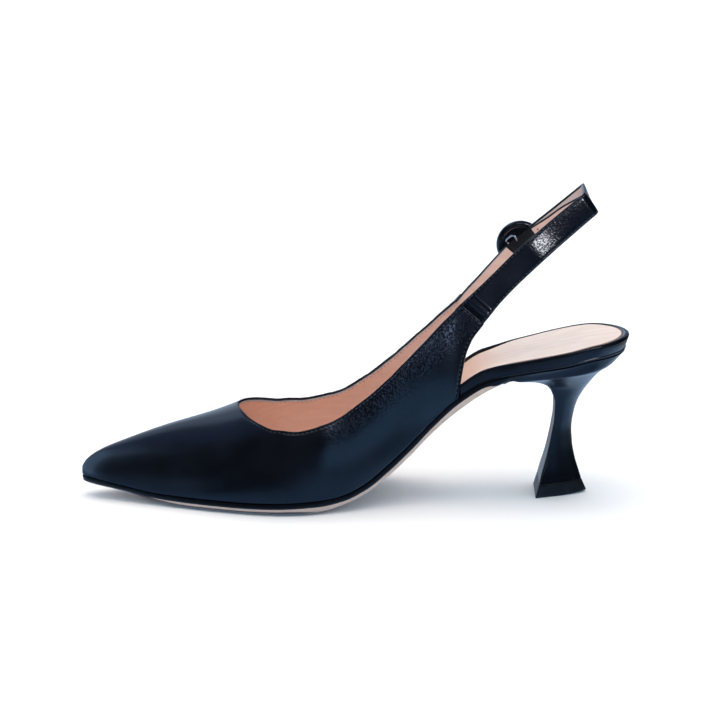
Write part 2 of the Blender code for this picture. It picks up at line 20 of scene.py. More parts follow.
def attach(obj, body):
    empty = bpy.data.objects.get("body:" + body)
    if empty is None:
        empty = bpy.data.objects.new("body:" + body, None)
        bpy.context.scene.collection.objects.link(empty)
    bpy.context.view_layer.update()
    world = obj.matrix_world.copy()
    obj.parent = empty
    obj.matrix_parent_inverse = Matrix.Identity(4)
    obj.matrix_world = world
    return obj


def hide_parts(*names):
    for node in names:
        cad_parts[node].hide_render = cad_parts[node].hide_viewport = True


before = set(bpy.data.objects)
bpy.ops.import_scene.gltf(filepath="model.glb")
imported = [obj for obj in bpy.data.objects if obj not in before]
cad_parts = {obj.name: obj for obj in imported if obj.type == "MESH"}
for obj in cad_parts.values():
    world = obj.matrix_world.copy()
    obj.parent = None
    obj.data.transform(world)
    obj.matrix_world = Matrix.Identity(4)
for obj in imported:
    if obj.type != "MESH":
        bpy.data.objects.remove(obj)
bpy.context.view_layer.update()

LOG = logging.getLogger("slingback_pump")
Array = np.ndarray
Mesh = bmesh.types.BMesh
Piece = bpy.types.Object
Socket = bpy.types.NodeSocket
Value = float | Array
Steps = tuple[float, ...]
Pair = tuple[float, float]
Triple = tuple[float, float, float]
Colour = Triple
Rows = tuple[Pair, ...]

MM = 0.001
LENGTH = 250.0
HEEL_AXIS = np.array([0.3, 7.32, 0.0])
MERGE_DISTANCE = 0.001 * MM
FAR_FROM_EDGE = 50.0
TIP_WIDTH = 0.01
TINY = 1e-12


class Side(IntEnum):
    """A side of the shoe, as the sign of its y."""

    NEAR = -1
    FAR = 1


class Slot(str, Enum):
    """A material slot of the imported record."""

    SOLE = "sole_leather"
    RIM = "rim_leather"
    SOCK = "sock_leather"
    UPPER = "upper_leather"
    HEEL = "heel_leather"
    LIFT = "lift_rubber"
    STRAP = "strap_leather"
    STRIP = "strip_lining"
    ELASTIC = "elastic"
    BUTTON = "button_horn"
    HOOK = "hook_metal"


class Sharp(IntEnum):
    """The angle, in degrees, from which a piece's edges are shaded sharp."""

    CUT = 35
    PLAIN = 40
    TURNED = 50
    FOLDED = 60
    SEWN = 80


class Foot(IntEnum):
    """The side of a strap's run on which the foot is, as the sign that turns its inner face there."""

    LEFT = 1
    RIGHT = -1


# Curves and tables


@dataclass
class Curve:
    """A smooth curve through rows of numbers, which doesn't overshoot between them."""

    places: Array
    values: Array
    slopes: Array = field(init=False)

    def __post_init__(self) -> None:
        """Works out the slope at each row."""
        self.places = np.asarray(self.places, float)
        self.values = np.asarray(self.values, float)
        step = np.diff(self.places)
        rise = np.diff(self.values) / step
        self.slopes = np.concatenate([rise[:1], np.zeros(len(rise) - 1), rise[-1:]])
        for i in range(1, len(rise)):
            before, after = rise[i - 1], rise[i]
            if before * after > 0:
                weights = (2 * step[i] + step[i - 1]) / before + (step[i] + 2 * step[i - 1]) / after
                self.slopes[i] = 3 * (step[i - 1] + step[i]) / weights

    def at(self, place: Value) -> Array:
        """The curve's value.

        Args:
            place: where to read it; past either end it keeps the end's value.

        Returns:
            A value for each place.
        """
        x = np.clip(place, self.places[0], self.places[-1])
        i = np.clip(np.searchsorted(self.places, x, side="right") - 1, 0, len(self.places) - 2)
        step = self.places[i + 1] - self.places[i]
        u = (x - self.places[i]) / step
        level = self.values[i] * (1 + 2 * u) * (1 - u) ** 2 + self.values[i + 1] * u * u * (3 - 2 * u)
        bend = self.slopes[i] * u * (1 - u) ** 2 - self.slopes[i + 1] * u * u * (1 - u)
        return level + step * bend


class Section(NamedTuple):
    """A section of the last: widths, feather line, ridge, and how round, square and full it is."""

    s: float
    centre: float
    medial: float
    lateral: float
    feather: float
    ridge: float
    round: float
    square: float
    belly: float


class Opening(NamedTuple):
    """The share of each half width that the collar's opening takes at s."""

    s: float
    near: float
    far: float


class RearEdge(NamedTuple):
    """A height on the quarter's rear edge and its s."""

    height: float
    s: float


class SoleRow(NamedTuple):
    """The outsole at s: thickness of its edge, height of its tread, how far its edge stands out."""

    s: float
    edge: float
    tread: float
    reach: float


class BoardRow(NamedTuple):
    """The insole board at s: its thickness and the rounding of its top edge."""

    s: float
    thickness: float
    rounding: float


class HeelRing(NamedTuple):
    """A ring of the heel: breast end, back end, half width, narrowing to the back, squareness."""

    front_s: float
    front_z: float
    back_s: float
    back_z: float
    width: float
    taper: float
    square: float


class Band(NamedTuple):
    """A section of a strap: the top edge and the lower edge of its outer face."""

    top_s: float
    top_y: float
    top_z: float
    low_s: float
    low_y: float
    low_z: float


class Turned(NamedTuple):
    """A point of a turned profile, in shares of the piece's radius and thickness."""

    radius: float
    height: float


def rows_of(kind: Callable[..., Any], *rows: Sequence[float]) -> tuple[Any, ...]:
    """The rows of a table with named columns."""
    return tuple(kind(*row) for row in rows)


def turn(s: Value) -> Array:
    """The angle that goes from 0 at the toe to pi at the heel, so that both ends come out round."""
    return np.arccos(np.clip(1 - 2 * np.asarray(s, float) / LENGTH, -1, 1))


def along(angle: Value) -> Array:
    """The place s of an angle of turn."""
    return LENGTH * (1 - np.cos(angle)) / 2


def by_length(rows: Sequence[Any]) -> dict[str, Curve]:
    """A curve for each column but s of a table, read at an angle of turn."""
    places = turn([row.s for row in rows])
    return {name: Curve(places, [getattr(row, name) for row in rows]) for name in rows[0]._fields[1:]}


def stations(start: float, end: float, count: int, extra: Sequence[float] = ()) -> list[float]:
    """Places from start to end, closer together towards the shoe's ends, with extra ones among them."""
    angles = np.linspace(turn(start), turn(end), count)
    return sorted([*(float(along(angle)) for angle in angles), *extra])


def along_rows(rows: Sequence[Pair], s: Value) -> Array:
    """The value at s of a table whose rows are a place and a value."""
    return Curve(*zip(*rows)).at(s)


def run_of(points: Array) -> Array:
    """The distance from the start of a line of points to each of its points."""
    return np.concatenate([[0], np.cumsum(np.linalg.norm(np.diff(points, axis=0), axis=1))])


def read_at(places: Array, run: Array, points: Array) -> Array:
    """The rows of a line at distances along it, where run is the distance of each of its points."""
    return np.stack([np.interp(places, run, points[:, k]) for k in range(points.shape[1])], axis=-1)


def nearest(points: Array, line: Array) -> Array:
    """The distance from each point to a line of close points."""
    return np.sqrt(((points[:, None, :] - line[None, :, :]) ** 2).sum(axis=2).min(axis=1))


def smoothstep(place: Value, low: float, high: float) -> Array:
    """A share that goes smoothly from 0 at low to 1 at high."""
    share = np.clip((np.asarray(place, float) - low) / (high - low), 0, 1)
    return share * share * (3 - 2 * share)


def unit(vectors: Array) -> Array:
    """The vectors at length 1."""
    return vectors / np.maximum(np.linalg.norm(vectors, axis=-1, keepdims=True), TINY)


def placed(point: Sequence[float]) -> Vector:
    """A point of the shoe in the frame."""
    return Vector((np.asarray(point) + HEEL_AXIS) * MM)


@dataclass
class Last:
    """The form that the shoe is built over."""

    swell_peak: float = 4 / 27
    angle_step: float = 0.01
    sections: tuple[Section, ...] = rows_of(
        Section,
        (0, -11.5, 0, 0, 10.0, 12.6, 2.0, 1.8, 0),
        (3, -11.4, 4.4, 4.4, 9.7, 17.9, 2.0, 1.8, 0),
        (10, -11.2, 8.2, 8.0, 8.9, 22.3, 2.0, 1.8, 0),
        (20, -10.9, 12.2, 11.6, 7.6, 26.4, 2.0, 1.8, 0.2),
        (40, -10.3, 20.2, 18.8, 5.4, 33.55, 2.0, 1.9, 0.5),
        (60, -9.4, 28.2, 25.8, 5.2, 39.3, 2.0, 2.2, 0.8),
        (72, -8.8, 32.3, 29.8, 5.2, 43.6, 2.0, 2.5, 1.0),
        (84, -8.2, 35.4, 33.2, 5.3, 49.0, 2.0, 2.8, 1.0),
        (95, -7.7, 36.8, 35.6, 5.6, 54.0, 2.0, 3.0, 1.0),
        (110, -6.7, 35.4, 36.6, 6.25, 58.0, 2.0, 3.0, 1.2),
        (120, -5.9, 32.6, 35.6, 7.7, 64.0, 1.9, 2.6, 1.5),
        (130, -5.0, 29.4, 33.0, 11.9, 78.0, 1.7, 2.1, 2.0),
        (140, -4.1, 26.4, 29.8, 19.5, 96.0, 1.5, 1.7, 2.2),
        (150, -3.2, 23.9, 26.8, 28.6, 115.0, 1.3, 1.4, 2.0),
        (160, -2.5, 21.8, 23.8, 38.6, 123.0, 1.1, 1.2, 1.6),
        (172, -1.5, 20.0, 21.2, 49.2, 125.5, 1.0, 1.1, 1.2),
        (185, -0.7, 20.6, 20.8, 57.0, 130.0, 1.0, 1.1, 1.0),
        (200, 0, 24.6, 24.6, 61.3, 130.0, 1.0, 1.1, 0),
        (220, 0, 27.2, 27.2, 65.2, 130.0, 1.0, 1.1, 0),
        (235, 0, 24.2, 24.2, 68.1, 130.0, 1.0, 1.1, 0),
        (245, 0, 15.8, 15.8, 68.9, 130.0, 1.0, 1.1, 0),
        (250, 0, 0, 0, 69.3, 130.0, 1.0, 1.1, 0),
    )
    curves: dict[str, Curve] = field(init=False)

    def __post_init__(self) -> None:
        """Makes a curve of each column."""
        self.curves = by_length(self.sections)

    def value(self, name: str, s: Value) -> Array:
        """A column of the table at s."""
        return self.curves[name].at(turn(s))

    def half_width(self, s: Value, side: Side) -> Array:
        """Half width at the feather line."""
        return self.value("medial" if side is Side.NEAR else "lateral", s)

    def point(self, s: Value, share: Value, side: Side) -> Array:
        """Points of the last's surface.

        Args:
            s: places along the shoe.
            share: 0 on the ridge to 1 on the feather line.
            side: the side of the shoe.

        Returns:
            The points (x, y, z).
        """
        share = np.clip(share, 0.0, 1.0)
        up = (1 - share ** self.value("round", s)) ** (1 / self.value("square", s))
        swell = self.value("belly", s) * up * (1 - up) ** 2 / self.swell_peak
        y = self.value("centre", s) + side * (self.half_width(s, side) * share + swell)
        feather = self.value("feather", s)
        z = feather + (self.value("ridge", s) - feather) * up
        return np.stack(np.broadcast_arrays(np.asarray(s) - LENGTH / 2, y, z), axis=-1)

    def share_at(self, s: Value, height: Value) -> Array:
        """Where the last reaches a height.

        Args:
            s: places along the shoe.
            height: the height above the floor.

        Returns:
            The share of the half width there.
        """
        feather = self.value("feather", s)
        up = np.maximum((height - feather) / (self.value("ridge", s) - feather), 0.0)
        return np.maximum(0.0, 1 - up ** self.value("square", s)) ** (1 / self.value("round", s))

    def steep(self, s: float) -> float:
        """How much longer than its thickness a layer of the sole is when it is cut upright."""
        fall = float(self.value("feather", s + 0.5) - self.value("feather", s - 0.5))
        return math.hypot(1, fall)

    def round_width(self, angle: float, side: Side) -> float:
        """Half width at an angle of turn; past either end of the shoe it goes on below zero."""
        return float(self.half_width(along(angle), side)) * (1 if 0 <= angle <= math.pi else -1)

    def outline(self, s: float, side: Side, margin: float) -> Pair:
        """A point of the last's outline in plan, moved outwards.

        Args:
            s: the place along the shoe.
            side: the side of the shoe.
            margin: how far it is moved.

        Returns:
            The point (x, y).
        """
        angle = float(turn(s))
        before, after = angle - self.angle_step, angle + self.angle_step
        ahead = float(along(after) - along(before))
        aside = self.round_width(after, side) - self.round_width(before, side)
        size = math.hypot(ahead, aside)
        x = s - LENGTH / 2 - margin * aside / size
        y = float(self.value("centre", s)) + side * (float(self.half_width(s, side)) + margin * ahead / size)
        return x, y


# Mesh making


def sleeve(
    rings: Array,
    slot_of: Callable[[int, int], int] | None = None,
    marks: dict[str, Array] | None = None,
) -> Mesh:
    """A closed skin through rings of points, from a grid that is wrapped round.

    Args:
        rings: the points, by ring and by step round it.
        slot_of: the material slot of the face that starts at a ring and a step.
        marks: values by ring and by step, kept as attributes.

    Returns:
        The mesh, with its ends closed and its faces outwards.
    """
    count, around = rings.shape[:2]
    marks = marks or {}
    bm = bmesh.new()
    bmesh.ops.create_grid(bm, x_segments=count - 1, y_segments=around, size=0.5)
    layers = {name: bm.verts.layers.float.new(name) for name in marks}
    for face in bm.faces:
        middle = face.calc_center_median()
        if slot_of:
            face.material_index = slot_of(int((middle.x + 0.5) * (count - 1)), int((middle.y + 0.5) * around))
    for vert in bm.verts:
        ring = round((vert.co.x + 0.5) * (count - 1))
        step = round((vert.co.y + 0.5) * around) % around
        for name, layer in layers.items():
            vert[layer] = marks[name][ring, step]
        vert.co = placed(rings[ring, step])
    bmesh.ops.remove_doubles(bm, verts=bm.verts, dist=MERGE_DISTANCE)
    bmesh.ops.dissolve_degenerate(bm, edges=bm.edges, dist=MERGE_DISTANCE)
    bmesh.ops.holes_fill(bm, edges=[edge for edge in bm.edges if edge.is_boundary], sides=0)
    face_outwards(bm)
    return bm


def face_outwards(bm: Mesh) -> None:
    """Turns the faces of a closed mesh outwards."""
    bmesh.ops.recalc_face_normals(bm, faces=bm.faces)
    if bm.calc_volume(signed=True) < 0:
        bmesh.ops.reverse_faces(bm, faces=bm.faces)


def plain_marks(rings: Array, grain: float) -> dict[str, Array]:
    """Marks of leather that has no folded edge and one strength of grain."""
    return {"edge": np.full(rings.shape[:2], FAR_FROM_EDGE), "grain": np.full(rings.shape[:2], grain)}


@dataclass(frozen=True)
class Seam:
    """A row of stitches: their sizes, how far each looks ahead and back, and how finely it is made."""

    spacing: float = 2.3
    length: float = 1.6
    width: float = 0.36
    height: float = 0.34
    sight: float = 0.3
    sides: int = 6
    rows: int = 5

    def sew(self, bm: Mesh, points: Array, normals: Array) -> None:
        """Adds the stitches of one row to a mesh.

        Args:
            bm: the mesh.
            points: a line of points on the surface.
            normals: the surface's outward direction at each of them.
        """
        run = run_of(points)
        for place in np.arange(self.spacing, run[-1] - self.length / 2, self.spacing):
            around = np.array([place - self.sight, place, place + self.sight])
            near, middle, far = read_at(around, run, points)
            ahead = unit(far - near)
            up = read_at(np.array([place]), run, normals)[0]
            aside = unit(np.cross(up, ahead))
            up = np.cross(ahead, aside)
            axes = np.stack([ahead * self.length, aside * self.width, up * self.height], axis=1) * MM / 2
            matrix = Matrix.Translation(placed(middle)) @ Matrix(axes.tolist()).to_4x4()
            bmesh.ops.create_uvsphere(
                bm, u_segments=self.sides, v_segments=self.rows, radius=1.0, matrix=matrix
            )


def dress(
    name: str,
    bm: Mesh,
    finishes: Sequence["Finish"],
    slot: Slot,
    node: str | None = None,
    sharp: Sharp = Sharp.PLAIN,
) -> Piece:
    """Makes a piece of the shoe from a mesh.

    Args:
        name: the piece's name.
        bm: its mesh, which is freed.
        finishes: a finish for each material slot of the mesh.
        slot: the record's slot that the piece stands for; not used.
        node: the CAD node that it stands for, if any.
        sharp: the angle from which an edge is shaded sharp.

    Returns:
        The piece.
    """
    mesh = bpy.data.meshes.new(name)
    bm.to_mesh(mesh)
    bm.free()
    mesh.shade_smooth()
    mesh.set_sharp_from_angle(angle=math.radians(sharp))
    for finish in finishes:
        mesh.materials.append(finish.material())
    piece = bpy.data.objects.new(name, mesh)
    bpy.context.scene.collection.objects.link(piece)
    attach(piece, "root")
    if node:
        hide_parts(node)
    LOG.info("%s: %d faces", name, len(mesh.polygons))
    return piece


# Finishes


class MixSockets(NamedTuple):
    """The kind of data that a Mix node takes, and the places of its sockets for it."""

    data: str
    first: int
    second: int
    result: int


NUMBERS = MixSockets("FLOAT", 2, 3, 0)
COLOURS = MixSockets("RGBA", 6, 7, 2)


class Tree:
    """A node tree in the making."""

    def __init__(self, tree: bpy.types.NodeTree) -> None:
        """Keeps the tree that nodes are added to."""
        self.tree = tree

    def add(self, kind: str, inputs: dict[str | int, Any] | None = None, **settings: Any) -> bpy.types.Node:
        """Adds a node.

        Args:
            kind: its type, without the prefix of shader nodes.
            inputs: for each socket a value, or the output that it is linked to.
            **settings: the node's own properties.

        Returns:
            The node.
        """
        node = self.tree.nodes.new(kind if kind.startswith("Node") else "ShaderNode" + kind)
        for name, value in settings.items():
            setattr(node, name, value)
        for name, value in (inputs or {}).items():
            self.feed(node.inputs[name], value)
        return node

    def feed(self, socket: Socket, value: Any) -> None:
        """Links an output to a socket, or sets the socket's value."""
        if isinstance(value, Socket):
            self.tree.links.new(value, socket)
        else:
            socket.default_value = value

    def mix(self, factor: Any, first: Any, second: Any, kind: MixSockets = COLOURS) -> Socket:
        """A colour or a number between two."""
        inputs = {0: factor, kind.first: first, kind.second: second}
        return self.add("Mix", inputs, data_type=kind.data).outputs[kind.result]

    def spread(
        self, value: Any, low: float, high: float, to_low: float = 0.0, to_high: float = 1.0
    ) -> Socket:
        """A value that runs smoothly from to_low at low to to_high at high."""
        ends = {"From Min": low, "From Max": high, "To Min": to_low, "To Max": to_high}
        return self.add("MapRange", {"Value": value, **ends}, interpolation_type="SMOOTHSTEP").outputs[0]

    def number(self, operation: str, first: Any, second: Any = 0.0) -> Socket:
        """The result of a Math node."""
        return self.add("Math", {0: first, 1: second}, operation=operation).outputs[0]

    def vector(self, operation: str, first: Any, second: Any) -> Socket:
        """The result of a Vector Math node."""
        return self.add("VectorMath", {0: first, 1: second}, operation=operation).outputs[0]

    def scaled(self, vector: Any, factor: Any) -> Socket:
        """A vector times a number."""
        return self.add("VectorMath", {0: vector, "Scale": factor}, operation="SCALE").outputs[0]

    def noise(self, place: Any, scale: float, detail: float = 2.0) -> bpy.types.Node:
        """A noise texture."""
        return self.add("TexNoise", {"Vector": place, "Scale": scale, "Detail": detail})

    def place(self) -> Socket:
        """The place on the shoe, in the frame."""
        return self.add("TexCoord").outputs["Object"]

    def mark(self, name: str) -> Socket:
        """A value that the mesh carries."""
        return self.add("Attribute", attribute_name=name).outputs["Fac"]


class Surface(Tree):
    """The node tree of a material, with its shader."""

    def __init__(self, material: bpy.types.Material) -> None:
        """Keeps the material's tree and shader."""
        super().__init__(material.node_tree)
        self.shader = material.node_tree.nodes["Principled BSDF"]

    def set(self, name: str, value: Any) -> None:
        """Sets a socket of the shader, or links an output to it."""
        self.feed(self.shader.inputs[name], value)

    def linked(self, name: str) -> Socket:
        """The output that is linked to a socket of the shader."""
        return self.shader.inputs[name].links[0].from_socket

    def bump(self, height: Any, depth: float) -> None:
        """Raises the surface by a height from 0 to 1, where 1 is a depth in millimetres."""
        bump = self.add("Bump", {"Height": height, "Distance": depth * MM})
        self.set("Normal", bump.outputs["Normal"])


def opaque(colour: Colour) -> tuple[float, float, float, float]:
    """A colour with full alpha."""
    return (*colour, 1.0)


@dataclass(frozen=True)
class Effect:
    """An effect that several finishes share, as a node group with its sizes in millimetres."""

    name: str

    def group(self) -> bpy.types.NodeTree:
        """The effect's node group, made on first use."""
        if self.name not in bpy.data.node_groups:
            self.make()
        return bpy.data.node_groups[self.name]

    def make(self) -> None:
        """Makes the group; each effect has its own nodes."""
        raise NotImplementedError

    def start(self, inputs: dict[str, float], outputs: Sequence[str]) -> tuple[Tree, Any, Any]:
        """Starts the group.

        Args:
            inputs: the value of each input beside the place.
            outputs: the names of its outputs, which are numbers.

        Returns:
            Its tree, the sockets that it is given and the sockets that it feeds.
        """
        group = bpy.data.node_groups.new(self.name, "ShaderNodeTree")
        group.interface.new_socket("Vector", in_out="INPUT", socket_type="NodeSocketVector")
        for label, value in inputs.items():
            socket = group.interface.new_socket(label, in_out="INPUT", socket_type="NodeSocketFloat")
            socket.default_value = value
        for label in outputs:
            group.interface.new_socket(label, in_out="OUTPUT", socket_type="NodeSocketFloat")
        tree = Tree(group)
        return tree, tree.add("NodeGroupInput").outputs, tree.add("NodeGroupOutput").inputs


@dataclass(frozen=True)
class HideGrain(Effect):
    """A hide: pebbles between creases, low waves, and slow changes of tone."""

    cell: float = 1.0
    patch: float = 18.0
    warp_scale: float = 0.6
    warp: float = 0.3
    pebble_edge: float = 0.7
    pebble_height: float = 0.8
    pore_scale: float = 2.4
    pore_height: float = 0.2
    wave_scale: float = 0.36
    tone_run: Pair = (0.3, 0.7)

    def make(self) -> None:
        """Pebbles, pores and waves for the height, and patches for the tone."""
        inputs = {"Cell": self.cell, "Patch": self.patch, "Waves": 0.0}
        tree, given, made = self.start(inputs, ("Height", "Tone"))
        in_mm = tree.scaled(given["Vector"], 1 / MM)
        in_cells = tree.vector("DIVIDE", in_mm, given["Cell"])
        shift = tree.scaled(tree.noise(in_cells, self.warp_scale).outputs["Color"], self.warp)
        bent = tree.vector("ADD", in_cells, shift)
        cells = tree.add("TexVoronoi", {"Vector": bent, "Scale": 1.0}, feature="F1")
        pebbles = tree.spread(cells.outputs["Distance"], 0.0, self.pebble_edge, self.pebble_height, 0.0)
        pores = tree.noise(in_cells, self.pore_scale, detail=3.0).outputs["Fac"]
        fine = tree.number("MULTIPLY", pores, self.pore_height)
        waves = tree.noise(in_cells, self.wave_scale, detail=1.0).outputs["Fac"]
        low = tree.number("MULTIPLY", waves, given["Waves"])
        tree.feed(made["Height"], tree.number("ADD", low, tree.number("ADD", pebbles, fine)))
        patches = tree.noise(tree.vector("DIVIDE", in_mm, given["Patch"]), 1.0, detail=3.0).outputs["Fac"]
        tree.feed(made["Tone"], tree.spread(patches, *self.tone_run))


@dataclass(frozen=True)
class FibreStreaks(Effect):
    """Streaks that run along the shoe, as in natural leather, and a fine speckle."""

    width: float = 2.0
    length: float = 30.0
    speckle_scale: float = 2.2
    streak_run: Pair = (0.3, 0.7)

    def make(self) -> None:
        """A noise drawn out along the shoe, and a plain one."""
        tree, given, made = self.start({"Width": self.width, "Length": self.length}, ("Streak", "Speckle"))
        size = tree.add("CombineXYZ", {0: given["Length"], 1: given["Width"], 2: given["Width"]}).outputs[0]
        in_mm = tree.scaled(given["Vector"], 1 / MM)
        streak = tree.noise(tree.vector("DIVIDE", in_mm, size), 1.0, detail=4.0).outputs["Fac"]
        tree.feed(made["Streak"], tree.spread(streak, *self.streak_run))
        tree.feed(made["Speckle"], tree.noise(in_mm, self.speckle_scale).outputs["Fac"])


HIDE_GRAIN = HideGrain("hide_grain")
FIBRE_STREAKS = FibreStreaks("fibre_streaks")


@dataclass(frozen=True)
class Finish:
    """The look of a surface."""

    name: str

    def material(self) -> bpy.types.Material:
        """The finish's material, made on first use."""
        if self.name not in bpy.data.materials:
            material = bpy.data.materials.new(self.name)
            material.use_nodes = True
            self.paint(Surface(material))
        return bpy.data.materials[self.name]

    def paint(self, surface: Surface) -> None:
        """Sets the surface up; each finish has its own way."""
        raise NotImplementedError


@dataclass(frozen=True)
class BlackLeather(Finish):
    """Smooth black nappa with a blue cast, darker and duller along its folded edges."""

    dark: Colour = (0.0020, 0.0028, 0.0054)
    light: Colour = (0.0030, 0.0044, 0.0086)
    roughness: Pair = (0.23, 0.27)
    cell: float = 0.8
    depth: float = 0.085
    waves: float = 0.12
    edge: float = 0.9
    edge_dull: float = 0.12
    plain: float = 0.2
    polish: float = 0.62

    def paint(self, surface: Surface) -> None:
        """Grain, slow changes of gloss, and a dull line along the folded edge.

        Args:
            surface: the material's tree and shader.
        """
        inputs = {"Vector": surface.place(), "Cell": self.cell, "Waves": self.waves}
        grain = surface.add("Group", inputs, node_tree=HIDE_GRAIN.group())
        tone, strong = grain.outputs["Tone"], surface.mark("grain")
        base = surface.mix(tone, opaque(self.dark), opaque(self.light))
        folded = surface.spread(surface.mark("edge"), self.edge / 2, self.edge, 1.0, 0.0)
        surface.set("Base Color", surface.mix(folded, base, opaque(self.dark)))
        polish = surface.spread(strong, self.plain, 1.0, 1.0, self.polish)
        gloss = surface.number("MULTIPLY", surface.spread(tone, 0.0, 1.0, *self.roughness), polish)
        dull = surface.number("MULTIPLY", folded, self.edge_dull)
        surface.set("Roughness", surface.number("ADD", gloss, dull))
        surface.bump(surface.number("MULTIPLY", grain.outputs["Height"], strong), self.depth)


@dataclass(frozen=True)
class SoftLining(Finish):
    """Thin lining leather: matt, finely mottled, a little fuzzy."""

    light: Colour = (0.70, 0.44, 0.33)
    deep: Colour = (0.60, 0.35, 0.25)
    roughness: float = 0.62
    uneven: float = 0.08
    width: float = 2.0
    length: float = 30.0
    speckled: float = 0.4
    speckle_run: Pair = (0.2, 0.8)
    depth: float = 0.03
    sheen: float = 0.15

    def paint(self, surface: Surface) -> None:
        """Streaks and speckles of two tones.

        Args:
            surface: the material's tree and shader.
        """
        inputs = {"Vector": surface.place(), "Width": self.width, "Length": self.length}
        fibre = surface.add("Group", inputs, node_tree=FIBRE_STREAKS.group())
        speckle = fibre.outputs["Speckle"]
        streaks = surface.number("MULTIPLY", fibre.outputs["Streak"], 1 - self.speckled)
        blend = surface.number("ADD", streaks, surface.number("MULTIPLY", speckle, self.speckled))
        surface.set("Base Color", surface.mix(blend, opaque(self.deep), opaque(self.light)))
        ends = self.roughness - self.uneven, self.roughness + self.uneven
        surface.set("Roughness", surface.spread(speckle, *self.speckle_run, *ends))
        surface.set("Sheen Weight", self.sheen)
        surface.bump(speckle, self.depth)


@dataclass(frozen=True)
class SoleLeather(SoftLining):
    """Natural sole leather under a painted edge, with a dark brown lip of painted contact shade where it
    turns under to the floor.
    """

    paint_colour: Colour = (0.004, 0.005, 0.007)
    paint_gloss: float = 0.2
    paint_soft: float = 0.12
    # Painted contact shade: the dark brown of the lip, where the bevel turns under to the floor.
    lip_colour: Colour = (0.06, 0.04, 0.035)
    lip_soft: float = 0.4
    specular: float = 0.2

    def paint(self, surface: Surface) -> None:
        """Natural leather, then the lip's painted contact shade and the edge paint laid over it by the sole's
        own marks.

        Args:
            surface: the material's tree and shader.
        """
        super().paint(surface)
        natural, matt = surface.linked("Base Color"), surface.linked("Roughness")
        shown = surface.spread(surface.mark("bare"), -self.paint_soft, self.paint_soft)
        # Painted contact shade: the lip goes dark brown past the 'lip' mark.
        contact_shade = surface.spread(surface.mark("lip"), -self.lip_soft, self.lip_soft)
        leather = surface.mix(contact_shade, natural, opaque(self.lip_colour))
        surface.set("Base Color", surface.mix(shown, opaque(self.paint_colour), leather))
        surface.set("Roughness", surface.mix(shown, self.paint_gloss, matt, NUMBERS))
        surface.set("Specular IOR Level", self.specular)


@dataclass(frozen=True)
class SockLeather(SoftLining):
    """Pale sock leather with a deeper tone painted over its front, as painted shade and reflected lining
    colour.
    """

    # Painted shade and reflected lining colour towards the sock's front.
    front: Colour = (0.80, 0.55, 0.42)

    def paint(self, surface: Surface) -> None:
        """Pale leather, then the painted shade and reflected lining colour laid over its front by the sock's
        own mark.

        Args:
            surface: the material's tree and shader.
        """
        super().paint(surface)
        pale, front_shade = surface.linked("Base Color"), surface.mark("front_shade")
        surface.set("Base Color", surface.mix(front_shade, pale, opaque(self.front)))


@dataclass(frozen=True)
class Gloss(Finish):
    """A hard polished surface with faint swirls: edge paint, horn or metal."""

    dark: Colour = (0.004, 0.005, 0.007)
    light: Colour = (0.008, 0.010, 0.014)
    roughness: Pair = (0.12, 0.20)
    metallic: float = 0.0
    coat: float = 0.0
    coat_roughness: float = 0.05
    cell: float = 0.5
    patch: float = 6.0
    depth: float = 0.004

    def paint(self, surface: Surface) -> None:
        """Swirls of two close tones and of gloss.

        Args:
            surface: the material's tree and shader.
        """
        inputs = {"Vector": surface.place(), "Cell": self.cell, "Patch": self.patch}
        grain = surface.add("Group", inputs, node_tree=HIDE_GRAIN.group())
        tone = grain.outputs["Tone"]
        surface.set("Base Color", surface.mix(tone, opaque(self.dark), opaque(self.light)))
        surface.set("Roughness", surface.spread(tone, 0.0, 1.0, *self.roughness))
        surface.set("Metallic", self.metallic)
        surface.set("Coat Weight", self.coat)
        surface.set("Coat Roughness", self.coat_roughness)
        surface.bump(grain.outputs["Height"], self.depth)


@dataclass(frozen=True)
class Thread(Gloss):
    """Twisted sewing thread."""

    roughness: Pair = (0.35, 0.5)
    patch: float = 0.4
    depth: float = 0.05


@dataclass(frozen=True)
class Woven(Finish):
    """Ribbed black elastic: ribs along the band, crossed by fine weft."""

    dark: Colour = (0.0025, 0.0026, 0.0034)
    light: Colour = (0.009, 0.0092, 0.011)
    roughness: Pair = (0.92, 0.75)
    rib: float = 0.55
    weft: float = 0.5
    depth: float = 0.12

    def paint(self, surface: Surface) -> None:
        """Ribs and weft from the band's own run and width.

        Args:
            surface: the material's tree and shader.
        """
        turns = 2 * math.pi / self.rib
        ribs = surface.number("SINE", surface.number("MULTIPLY", surface.mark("across"), turns))
        weft = surface.number("SINE", surface.number("MULTIPLY", surface.mark("along"), 2 * turns))
        both = surface.number("ADD", ribs, surface.number("MULTIPLY", weft, self.weft))
        weave = surface.spread(both, -1 - self.weft, 1 + self.weft)
        surface.set("Base Color", surface.mix(weave, opaque(self.dark), opaque(self.light)))
        surface.set("Roughness", surface.spread(weave, 0.0, 1.0, *self.roughness))
        surface.bump(weave, self.depth)


